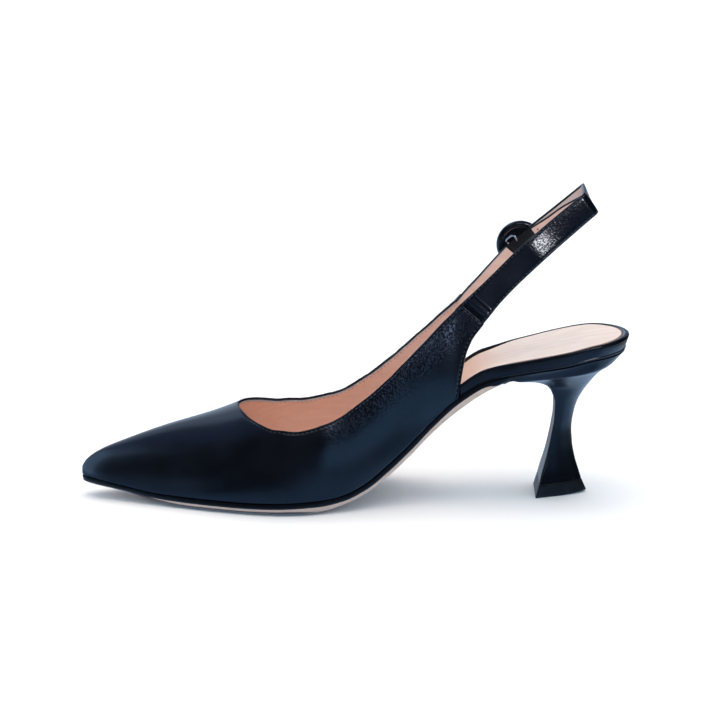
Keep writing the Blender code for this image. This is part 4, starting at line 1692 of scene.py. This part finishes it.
@dataclass(frozen=True)
class Ribbon:
    """A flat band along sections, with round edges, stitch channels and a lined inner face."""

    thickness: float = 1.6
    edge_radius: float = 0.45
    stitch_inset: float = 0.85
    stitch_proud: float = 0.05
    channel: float = 0.12
    channel_width: float = 0.28
    crown: float = 0.12
    raw_band: float = 0.45
    channel_steps: Steps = (0.45, 0.6, 0.72, 0.85, 0.98, 1.1, 1.5, 2.4)
    middle_steps: int = 8
    edge_steps: int = 5
    foot: Foot = Foot.RIGHT

    def frame(self, sections: Array) -> tuple[Array, Array, Array]:
        """Directions of the band at each section.

        Args:
            sections: rows of a top edge point and a lower edge point.

        Returns:
            Unit vectors across it and inwards, and its widths.
        """
        ahead = np.gradient(sections, axis=0)
        across = sections[:, 3:] - sections[:, :3]
        inner = unit(np.cross(ahead[:, :3] + ahead[:, 3:], across) * self.foot)
        return unit(across), inner, np.linalg.norm(across, axis=1)

    def profile(self, width: float) -> tuple[Array, int]:
        """The band's profile as (distance across, depth), once round it.

        Args:
            width: the band's width.

        Returns:
            The profile, and how many of its points are on the outer face.
        """
        near = np.array(self.channel_steps)
        middle = np.linspace(near[-1], width - near[-1], self.middle_steps)[1:-1]
        across = np.concatenate([near, middle, width - near[::-1]])
        edge = np.minimum(across, width - across)
        groove = self.channel * np.exp(-(((edge - self.stitch_inset) / self.channel_width) ** 2))
        crown = self.crown * np.sin(np.pi * across / width)
        outer = np.stack([across, groove - crown], axis=1)
        angles = np.linspace(0, math.pi, self.edge_steps + 2)[1:-1]
        half = self.thickness / 2
        lip = np.stack([self.edge_radius * (1 - np.sin(angles)), half * (1 - np.cos(angles))], axis=1)
        turned = self.edge_radius + self.raw_band
        lined = np.linspace(width - turned, turned, self.middle_steps - 2)
        back = np.concatenate([[width - self.edge_radius], lined, [self.edge_radius]])
        inner = np.stack([back, np.full(len(back), self.thickness)], axis=1)
        low = lip * [-1, 1] + [width, 0]
        return np.concatenate([outer, low, inner, lip[::-1]]), len(outer)

    def skin(self, sections: Array) -> Mesh:
        """The band's mesh, with its run and width as attributes.

        Args:
            sections: rows of a top edge point and a lower edge point.

        Returns:
            The mesh, with slots for the outer face, the lining and the lining's edge.
        """
        across, inner, widths = self.frame(sections)
        rings, marks = [], {"edge": [], "along": [], "across": [], "grain": []}
        run = run_of(middle_of(sections))
        for section, side, depth, width, place in zip(sections, across, inner, widths, run):
            shape, outer_count = self.profile(width)
            rings.append(section[:3] + shape[:, :1] * side + shape[:, 1:] * depth)
            marks["edge"].append(np.minimum(shape[:, 0], width - shape[:, 0]))
            marks["along"].append(np.full(len(shape), place))
            marks["across"].append(shape[:, 0])
            marks["grain"].append(np.ones(len(shape)))
        first = outer_count + self.edge_steps
        final = first + self.middle_steps - 2

        def slot_of(ring: int, step: int) -> int:
            """The lining on the inner face, its raw edge beside it, leather on the rest."""
            if step in (first, final):
                return 2
            return int(first < step < final)

        return sleeve(np.array(rings), slot_of, {name: np.array(rows) for name, rows in marks.items()})

    def seam_lines(self, sections: Array) -> list[tuple[Array, Array]]:
        """Lines for the stitches along both edges of the outer face.

        Args:
            sections: rows of a top edge point and a lower edge point.

        Returns:
            The points of each line, and the outward direction at each point.
        """
        across, inner, _ = self.frame(sections)
        depth = (self.channel - self.stitch_proud) * inner
        top = sections[:, :3] + across * self.stitch_inset + depth
        low = sections[:, 3:] - across * self.stitch_inset + depth
        return [(top, -inner), (low, -inner)]


def middle_of(sections: Array) -> Array:
    """The middle of each strap section's outer face."""
    return (sections[:, :3] + sections[:, 3:]) / 2


def edges_of(bands: Sequence[Band]) -> Array:
    """Strap sections as rows of a top edge point and a lower edge point."""
    return np.array(bands, float) - np.array([LENGTH / 2, 0, 0] * 2)


def curve_through(rows: Sequence[Array], steps: int) -> Array:
    """A smooth run through rows of numbers, such as points or strap sections.

    Args:
        rows: the rows that it goes through.
        steps: how many rows it has.

    Returns:
        Its rows, evenly spaced.
    """
    rows = np.asarray(rows)
    run = run_of(rows)
    places = np.linspace(0, run[-1], steps)
    return np.stack([Curve(run, rows[:, k]).at(places) for k in range(rows.shape[1])], axis=1)


def towards(start: Array, end: Array, distance: float) -> Array:
    """The section that lies a distance from start on the way to end."""
    return start + (end - start) * distance / np.linalg.norm((end - start)[:3])


@dataclass
class Straps:
    """The sling strap round the heel, and the short strap that it buttons to."""

    upper: Upper
    sling_ribbon: Ribbon = Ribbon(foot=Foot.LEFT)
    short_ribbon: Ribbon = Ribbon()
    seam: Seam = Seam(spacing=2.1, length=1.45, width=0.32, height=0.26)
    seam_gap: float = -4.0
    tuck: float = 1.1
    tuck_run: float = 9.0
    narrowing: float = 0.5
    # The height, the place and the width of the puckers, then of the bulge over the tab.
    pucker: Triple = (0.16, 8.4, 2.6)
    pucker_wave: float = 2.3
    bulge: Triple = (0.8, 206.0, 6.5)
    fold_radius: float = 3.0
    fold_steps: int = 10
    between_steps: int = 10
    long_steps: int = 180
    short_steps: int = 60
    near: tuple[Band, ...] = rows_of(
        Band,
        (182.2, -12.7, 99.9, 190.9, -15.0, 92.1),
        (199.3, -12.8, 117.2, 207.8, -14.4, 109.3),
        (216.9, -12.7, 132.8, 224.8, -13.2, 124.6),
    )
    near_fold: Band = Band(227.9, -12.8, 142.0, 234.5, -13.0, 133.2)
    far_fold: Band = Band(228.9, 12.8, 142.6, 232.9, 13.0, 131.4)
    far: tuple[Band, ...] = rows_of(
        Band,
        (219.0, 13.0, 134.3, 225.0, 13.1, 124.6),
        (204.0, 13.8, 121.8, 211.1, 13.9, 112.6),
    )
    fastening: tuple[Band, ...] = rows_of(
        Band,
        (180.3, 10.2, 98.7, 188.6, 12.9, 91.2),
        (187.0, 10.2, 106.3, 195.6, 11.6, 98.9),
        (193.4, 10.1, 113.4, 202.0, 10.7, 106.0),
    )

    def seam_section(self, side: Side, ahead: Array) -> Array:
        """The strap's first section, a little way inside the end of the quarter.

        Args:
            side: the side of the shoe.
            ahead: the section that follows it.

        Returns:
            The section.
        """
        ends = [self.upper.top_places(side)[-1], self.upper.rear_places()[-1]]
        start = np.concatenate([self.upper.last.point(*place, side) for place in ends])
        return towards(start, ahead, self.seam_gap)

    def tucked(self, sections: Array, ribbon: Ribbon) -> Array:
        """Sinks a strap's start below the quarter that is sewn over it, with a pucker behind the seam.

        Args:
            sections: the strap's sections from its start.
            ribbon: the strap's ribbon.

        Returns:
            The sections, the first of them sunk and narrowed.
        """
        across, inner, _ = ribbon.frame(sections)
        run = run_of(middle_of(sections))[:, None]
        under = 1 - smoothstep(run, 0, self.tuck_run)
        height, place, width = self.pucker
        waves = np.cos(2 * np.pi * (run - place) / self.pucker_wave) * np.exp(-(((run - place) / width) ** 2))
        sunk = inner * (self.tuck * under - height * waves)
        return sections + np.concatenate([sunk, sunk - across * self.narrowing * under], axis=1)

    def bulged(self, sections: Array) -> Array:
        """Lifts the near strap a little where it passes over the button's tab.

        Args:
            sections: the sling strap's sections.

        Returns:
            The sections, those over the tab lifted.
        """
        _, inner, _ = self.sling_ribbon.frame(sections)
        height, s, width = self.bulge
        middle = middle_of(sections)
        run = run_of(middle)
        centre = run[np.argmin(np.abs(middle[:, 0] + LENGTH / 2 - s) + FAR_FROM_EDGE * (middle[:, 1] > 0))]
        lift = -inner * (height * np.exp(-(((run - centre) / width) ** 2)))[:, None]
        return sections + np.concatenate([lift, lift], axis=1)

    def fold(self, before: Array, crease: Array, after: Array) -> list[Array]:
        """Sections round a crease, from just before it to just after it.

        Args:
            before: a section on the way to the crease.
            crease: the section at the crease.
            after: a section on the way from it.

        Returns:
            The sections.
        """
        start, end = (towards(crease, other, self.fold_radius) for other in (before, after))
        shares = np.linspace(0, 1, self.fold_steps)
        return [start * (1 - u) ** 2 + crease * 2 * u * (1 - u) + end * u * u for u in shares]

    def sling_sections(self) -> Array:
        """The sling strap, from the near quarter round the heel to its button end.

        Returns:
            Its sections.
        """
        near, far = edges_of(self.near), edges_of(self.far)
        first, second = edges_of([self.near_fold, self.far_fold])
        near_fold, far_fold = self.fold(near[-1], first, second), self.fold(first, second, far[0])
        shares = np.linspace(0, 1, self.between_steps)[1:-1]
        between = [near_fold[-1] + (far_fold[0] - near_fold[-1]) * u for u in shares]
        start = self.seam_section(Side.NEAR, near[0])
        sections = np.array(
            [
                *curve_through([start, *near, near_fold[0]], self.long_steps)[:-1],
                *near_fold,
                *between,
                *far_fold,
                *curve_through([far_fold[-1], *far], self.short_steps)[1:],
            ]
        )
        return self.bulged(self.tucked(sections, self.sling_ribbon))

    def fastening_sections(self) -> Array:
        """The short strap on the far quarter.

        Returns:
            Its sections.
        """
        bands = edges_of(self.fastening)
        start = self.seam_section(Side.FAR, bands[0])
        return self.tucked(curve_through([start, *bands], self.short_steps), self.short_ribbon)

    def build(self) -> list[Piece]:
        """Both straps and their stitches.

        Returns:
            The pieces.
        """
        sling, fastening = self.sling_sections(), self.fastening_sections()
        thread = bmesh.new()
        for sections, ribbon in ((sling, self.sling_ribbon), (fastening, self.short_ribbon)):
            for points, normals in ribbon.seam_lines(sections):
                self.seam.sew(thread, points, normals)
        sling_skin = self.sling_ribbon.skin(sling)
        short_skin = self.short_ribbon.skin(fastening)
        painted, raw = [STRAP_LEATHER, STRAP_LINING, STRAP_EDGE], [STRAP_LEATHER, LINING, RAW_EDGE]
        return [
            dress("sling_band", sling_skin, painted, Slot.STRAP, "sling_strap", Sharp.FOLDED),
            dress("fastening_band", short_skin, raw, Slot.STRAP, "fastening_strap", Sharp.FOLDED),
            dress("strap_stitches", thread, [PALE_THREAD], Slot.STRAP, None, Sharp.SEWN),
        ]


# The fastening


@dataclass
class Fastening:
    """The button, its wire, the elastic tab and the strip behind the strap."""

    button_radius: float = 11.0
    button_thickness: float = 5.0
    button_steps: int = 72
    button_place: Triple = (200.5, 14.3, 112.8)
    wire: float = 0.42
    wire_steps: int = 40
    wire_sides: int = 14
    hole: float = 0.42
    hole_sides: int = 16
    hole_proud: float = 0.02
    hole_place: tuple[int, float] = (3, 0.3)
    tack_row: int = 2
    tack_run: Pair = (0.08, 0.92)
    tack_points: int = 12
    tack_seam: Seam = Seam(spacing=1.5, length=1.1)
    strip_ribbon: Ribbon = Ribbon(thickness=1.0, edge_radius=0.3, channel=0.04, crown=0.05)
    strip_steps: int = 40
    strip: tuple[Band, ...] = rows_of(
        Band,
        (204.9, 9.2, 122.4, 210.1, 9.2, 115.7),
        (211.7, 5.2, 127.7, 216.9, 5.2, 121.0),
        (218.6, -0.4, 134.0, 223.8, -0.4, 127.3),
        (226.2, -9.3, 140.2, 231.6, -9.5, 133.2),
    )
    tab_ribbon: Ribbon = Ribbon(thickness=1.2, edge_radius=0.35, channel=0.0, crown=0.08)
    tab_steps: int = 24
    tab: tuple[Band, ...] = rows_of(
        Band,
        (193.9, 9.8, 113.7, 200.2, 10.1, 108.2),
        (204.6, 9.3, 122.2, 209.8, 9.3, 115.5),
    )
    profile: tuple[Turned, ...] = rows_of(
        Turned,
        (0, 0.66), (0.30, 0.67), (0.62, 0.71), (0.70, 0.80), (0.76, 0.94),
        (0.82, 1), (0.90, 0.98), (0.96, 0.86), (0.99, 0.68), (1, 0.5),
        (0.985, 0.3), (0.95, 0.13), (0.90, 0.03), (0.85, 0), (0.80, 0.03),
        (0.76, 0.10), (0.72, 0.15), (0.40, 0.19), (0, 0.20),
    )
    hook_route: tuple[Triple, ...] = (
        (198.7, 7.8, 116.2), (198.2, 7.7, 117.4), (197.0, 8.2, 118.4), (195.5, 9.6, 117.6),
        (193.9, 11.0, 115.6), (194.3, 12.4, 114.6), (196.0, 14.0, 113.2),
    )

    def button(self) -> Piece:
        """The turned button: raised rings round a shallow dish on its face and on its back.

        Returns:
            The piece.
        """
        bm = bmesh.new()
        size = np.array([self.button_radius, 0, self.button_thickness])
        verts = [bm.verts.new(size * (row.radius, 0, row.height)) for row in self.profile]
        edges = [bm.edges.new(pair) for pair in zip(verts, verts[1:])]
        bmesh.ops.spin(
            bm,
            geom=[*verts, *edges],
            cent=(0, 0, 0),
            axis=(0, 0, 1),
            angle=2 * math.pi,
            steps=self.button_steps,
            use_merge=True,
        )
        s, y, z = self.button_place
        place = Matrix.Translation(placed((s - LENGTH / 2, y, z))) @ Matrix.Rotation(-math.pi / 2, 4, "X")
        bmesh.ops.transform(bm, matrix=place @ Matrix.Scale(MM, 4), verts=bm.verts)
        bmesh.ops.remove_doubles(bm, verts=bm.verts, dist=MERGE_DISTANCE)
        face_outwards(bm)
        return dress("button_disc", bm, [BUTTON_HORN], Slot.BUTTON, "button", Sharp.TURNED)

    def hook(self) -> Piece:
        """The bent wire that holds the tab.

        Returns:
            The piece.
        """
        path = curve_through(np.array(self.hook_route) - [LENGTH / 2, 0, 0], self.wire_steps)
        ahead = unit(np.gradient(path, axis=0))
        up = unit(np.cross(ahead, [1.0, 0.0, 0.0]))
        aside = np.cross(up, ahead)
        angles = np.linspace(0, 2 * math.pi, self.wire_sides, endpoint=False)[:, None]
        circle = aside[:, None] * np.cos(angles) + up[:, None] * np.sin(angles)
        bm = sleeve(path[:, None] + self.wire * circle)
        return dress("hook_wire", bm, [HOOK_METAL], Slot.HOOK, "button_hook", Sharp.TURNED)

    def build(self) -> list[Piece]:
        """The strip, the tab, the button and its wire.

        Returns:
            The pieces.
        """
        strip = curve_through(edges_of(self.strip), self.strip_steps)
        tab = curve_through(edges_of(self.tab), self.tab_steps)
        peach, woven = [STRAP_LEATHER, LINING, STRAP_LEATHER], [ELASTIC, ELASTIC, ELASTIC]
        strip_skin = self.strip_ribbon.skin(strip)
        tab_skin = self.tab_ribbon.skin(tab)
        return [
            dress("strip_band", strip_skin, peach, Slot.STRIP, "inner_strip", Sharp.FOLDED),
            dress("elastic_band", tab_skin, woven, Slot.ELASTIC, "elastic_tab", Sharp.FOLDED),
            self.pin_hole(strip),
            self.tack(tab),
            self.button(),
            self.hook(),
        ]

    def pin_hole(self, strip: Array) -> Piece:
        """The punched hole in the strip, as a disc of painted shade just proud of its inner face.

        Args:
            strip: the strip's sections.

        Returns:
            The piece.
        """
        across, inner, widths = self.strip_ribbon.frame(strip)
        row, share = self.hole_place
        depth = self.strip_ribbon.thickness + self.hole_proud
        middle = strip[row, :3] + across[row] * widths[row] * share + inner[row] * depth
        turned = Vector(inner[row]).to_track_quat("Z", "Y").to_matrix().to_4x4()
        bm = bmesh.new()
        place = Matrix.Translation(placed(middle)) @ turned
        bmesh.ops.create_circle(
            bm, cap_ends=True, segments=self.hole_sides, radius=self.hole * MM, matrix=place
        )
        return dress("strip_hole", bm, [HOLE_SHADE], Slot.STRIP)

    def tack(self, tab: Array) -> Piece:
        """Stitches across both ends of the elastic, on the side towards the foot.

        Args:
            tab: the elastic's sections.

        Returns:
            The piece.
        """
        across, inner, widths = self.tab_ribbon.frame(tab)
        shares = np.linspace(*self.tack_run, self.tack_points)[:, None]
        bm = bmesh.new()
        for row in (self.tack_row, len(tab) - 1 - self.tack_row):
            depth = inner[row] * self.tab_ribbon.thickness
            points = tab[row, :3] + across[row] * widths[row] * shares + depth
            self.tack_seam.sew(bm, points, np.tile(inner[row], (len(points), 1)))
        return dress("tab_stitches", bm, [THREAD], Slot.ELASTIC, None, Sharp.SEWN)


# The studio


@dataclass(frozen=True)
class Card:
    """A patch of the surroundings that glossy surfaces mirror.

    Its azimuths run from the camera's side towards the heel, in degrees like its elevations.
    """

    azimuth: Pair
    elevation: Pair
    light: Colour
    soft: float = 8.0

    def share(self, tree: Tree, azimuth: Socket, elevation: Socket) -> Socket:
        """Its light in a direction.

        Args:
            tree: the world's tree.
            azimuth: the direction's azimuth.
            elevation: the direction's elevation.

        Returns:
            The card's light where the direction meets it, else black.
        """
        share: Any = 1.0
        for angle, (low, high) in ((azimuth, self.azimuth), (elevation, self.elevation)):
            past_low = tree.spread(angle, low - self.soft, low + self.soft)
            below_high = tree.spread(angle, high - self.soft, high + self.soft, 1.0, 0.0)
            share = tree.number("MULTIPLY", share, tree.number("MULTIPLY", past_low, below_high))
        return tree.scaled(self.light, share)


@dataclass(frozen=True)
class Lamp:
    """A small soft box close to the shoe, seen only in the gloss of the pieces it is set for."""

    name: str
    place: Triple
    size: Pair
    light: Colour
    lit: tuple[str, ...]
    aim: Triple = (0.0, 1.0, 0.0)
    tilt: float = 0.0

    def build(self) -> None:
        """Sets the lamp up, with a radiance that is the same all over it."""
        data = bpy.data.lights.new(self.name, "AREA")
        data.shape = "RECTANGLE"
        data.size, data.size_y = self.size
        brightest = max(self.light)
        data.color = [channel / brightest for channel in self.light]
        data.energy = math.pi * self.size[0] * self.size[1] * brightest
        lamp = bpy.data.objects.new(self.name, data)
        lamp.location = self.place
        turned = Vector(self.aim).to_track_quat("-Z", "Y") @ Quaternion((0, 0, 1), math.radians(self.tilt))
        lamp.rotation_euler = turned.to_euler()
        lamp.visible_camera = lamp.visible_diffuse = False
        receivers = bpy.data.collections.new(self.name)
        for name in self.lit:
            receivers.objects.link(bpy.data.objects[name])
        lamp.light_linking.receiver_collection = receivers
        bpy.context.scene.collection.objects.link(lamp)


UPPER_ONLY = ("upper_skin",)
RIM_ONLY = ("seat_rim",)
SLING_ONLY = ("sling_band",)
SEWN_SLING = ("sling_band", "strap_stitches")


@dataclass
class Studio:
    """The floor, the light and the camera at the photograph's angle."""

    target: Triple = (0.0003, 0.00332, 0.075)
    azimuth: float = 1.5
    elevation: float = 13.0
    distance: float = 1.2
    lens: float = 133.2
    shift: Pair = (0.0018, -0.0315)
    floor_size: float = 16.0
    floor_colour: Colour = (0.92, 0.92, 0.92)
    floor_shade: float = 0.985
    floor_patches: float = 3.0
    floor_roughness: float = 0.9
    floor_specular: float = 0.1
    far_clip: float = 100.0
    light_from: Triple = (0.0, 0.08, 1.0)
    light_cone: Pair = (0.70, 0.98)
    light_colour: Colour = (1.24, 1.0, 0.78)
    light_strength: float = 2.15
    fill_colour: Colour = (0.77, 1.0, 1.23)
    fill_strength: float = 0.76
    cards: tuple[Card, ...] = (
        Card((-400, 400), (-200, -22), (0.19, 0.41, 0.80), 3.5),
        Card((15, 46), (-22, -9), (0.18, 0.38, 0.75), 4.5),
        Card((62, 110), (-60, -16), (0.25, 0.40, 0.55), 8),
        Card((110, 400), (-200, -14), (0.5, 0.58, 0.65), 12),
        Card((-400, -120), (-200, -14), (0.5, 0.58, 0.65), 12),
        Card((-115, -47), (-20, 2), (0.27, 0.52, 0.95), 3),
        Card((-400, -135), (-10, 33), (0.75, 0.95, 1.25), 10),
        Card((155, 400), (-10, 30), (0.25, 0.33, 0.45), 10),
        Card((-160, -130), (38, 52), (0.70, 0.95, 1.40), 6),
        Card((-130, -112), (46, 58), (0.20, 0.34, 0.66), 8),
        Card((-112, -72), (47, 70), (0.12, 0.20, 0.45), 7),
        Card((30, 58), (52, 66), (8.0, 8.2, 9.0), 5),
        Card((-30, 25), (62, 80), (1.3, 1.4, 1.6), 6),
    )
    lamps: tuple[Lamp, ...] = (
        Lamp("quarter_band", (0.076, -0.15, 0.127), (0.054, 0.014), (3.2, 4.3, 6.8), UPPER_ONLY, tilt=-10.7),
        Lamp("quarter_end", (0.037, -0.15, 0.149), (0.020, 0.016), (1.2, 1.6, 2.6), UPPER_ONLY),
        Lamp("quarter_side", (0.093, -0.15, 0.038), (0.070, 0.072), (0.27, 0.62, 1.15), UPPER_ONLY),
        Lamp("quarter_front", (0.044, -0.15, 0.027), (0.028, 0.050), (0.13, 0.30, 0.57), UPPER_ONLY),
        Lamp("toe_side", (-0.22, -0.008, 0.079), (0.126, 0.152), (0.75, 1.25, 2.0), UPPER_ONLY, (1, 0, 0)),
        Lamp("strap_front", (0.05, -0.4, 0.101), (0.36, 0.198), (0.015, 0.045, 0.13), SEWN_SLING),
        Lamp("strap_glint", (0.02, -0.4, 0.205), (0.22, 0.010), (2.4, 3.0, 4.6), SLING_ONLY),
        Lamp("strap_spot", (0.110, -0.4, 0.191), (0.036, 0.036), (85.0, 86.0, 94.0), SEWN_SLING),
        Lamp("strap_start", (-0.08, -0.4, 0.112), (0.05, 0.09), (3.0, 3.5, 4.5), SLING_ONLY),
        Lamp("rim_front", (0.07, -0.2, 0.021), (0.15, 0.038), (0.19, 0.31, 0.51), RIM_ONLY),
    )

    def floor(self) -> None:
        """A plain pale floor."""
        bm = bmesh.new()
        bmesh.ops.create_grid(bm, x_segments=4, y_segments=4, size=self.floor_size / 2)
        mesh = bpy.data.meshes.new("studio_floor")
        bm.to_mesh(mesh)
        bm.free()
        material = bpy.data.materials.new("pale_floor")
        material.use_nodes = True
        surface = Surface(material)
        patches = surface.noise(surface.place(), self.floor_patches).outputs["Fac"]
        darker = tuple(self.floor_shade * channel for channel in self.floor_colour)
        surface.set("Base Color", surface.mix(patches, opaque(darker), opaque(self.floor_colour)))
        surface.set("Roughness", self.floor_roughness)
        surface.set("Specular IOR Level", self.floor_specular)
        mesh.materials.append(material)
        floor = bpy.data.objects.new("studio_floor", mesh)
        bpy.context.scene.collection.objects.link(floor)
        floor.visible_glossy = False

    def light(self) -> None:
        """A soft light from above with a cool fill, and cards for the gloss to mirror."""
        world = bpy.data.worlds.new("soft_studio")
        world.use_nodes = True
        world.cycles.sampling_method = "NONE"
        bpy.context.scene.world = world
        tree = Tree(world.node_tree)
        background = world.node_tree.nodes["Background"]
        direction = tree.add("TexCoord").outputs["Generated"]
        towards_light = Vector(self.light_from).normalized()
        facing = tree.add("VectorMath", {0: direction, 1: towards_light}, operation="DOT_PRODUCT")
        share = tree.spread(facing.outputs["Value"], *self.light_cone)
        fill = tuple(self.fill_strength * channel for channel in self.fill_colour)
        both = tuple(soft * self.light_strength + low for soft, low in zip(self.light_colour, fill))
        around = tree.mix(share, opaque(fill), opaque(both))
        split = tree.add("SeparateXYZ", {0: direction}).outputs
        turned = tree.number("ARCTAN2", split["X"], tree.number("MULTIPLY", split["Y"], -1.0))
        azimuth = tree.number("DEGREES", turned)
        elevation = tree.number("DEGREES", tree.number("ARCSINE", split["Z"]))
        mirrored: Any = (0.0, 0.0, 0.0)
        for card in self.cards:
            mirrored = tree.vector("ADD", mirrored, card.share(tree, azimuth, elevation))
        glossy = tree.add("LightPath").outputs["Is Glossy Ray"]
        tree.feed(background.inputs["Color"], tree.mix(glossy, around, mirrored))
        background.inputs["Strength"].default_value = 1.0

    def camera(self) -> None:
        """The camera, from the shoe's inner side and a little above."""
        data = bpy.data.cameras.new("photo_camera")
        data.lens = self.lens
        data.shift_x, data.shift_y = self.shift
        data.clip_end = self.far_clip
        turned, raised = math.radians(self.azimuth), math.radians(self.elevation)
        away = Vector(
            (math.sin(turned) * math.cos(raised), -math.cos(turned) * math.cos(raised), math.sin(raised))
        )
        camera = bpy.data.objects.new("photo_camera", data)
        camera.location = Vector(self.target) + away * self.distance
        camera.rotation_euler = (-away).to_track_quat("-Z", "Y").to_euler()
        bpy.context.scene.collection.objects.link(camera)
        bpy.context.scene.camera = camera

    def build(self) -> None:
        """Sets the studio up, with plain colours from light to picture."""
        self.floor()
        self.light()
        for lamp in self.lamps:
            lamp.build()
        self.camera()
        bpy.context.scene.view_settings.view_transform = "Standard"


def main() -> None:
    """Builds the shoe's pieces in order, then the studio."""
    logging.basicConfig(level=logging.INFO, format="%(message)s")
    last = Last()
    bottom, upper = Bottom(last), Upper(last)
    for assembly in (bottom, upper, Heel(bottom), Straps(upper), Fastening()):
        pieces = assembly.build()
        LOG.info("%s: %s", type(assembly).__name__, ", ".join(piece.name for piece in pieces))
    Studio().build()


if __name__ == "__main__":
    main()
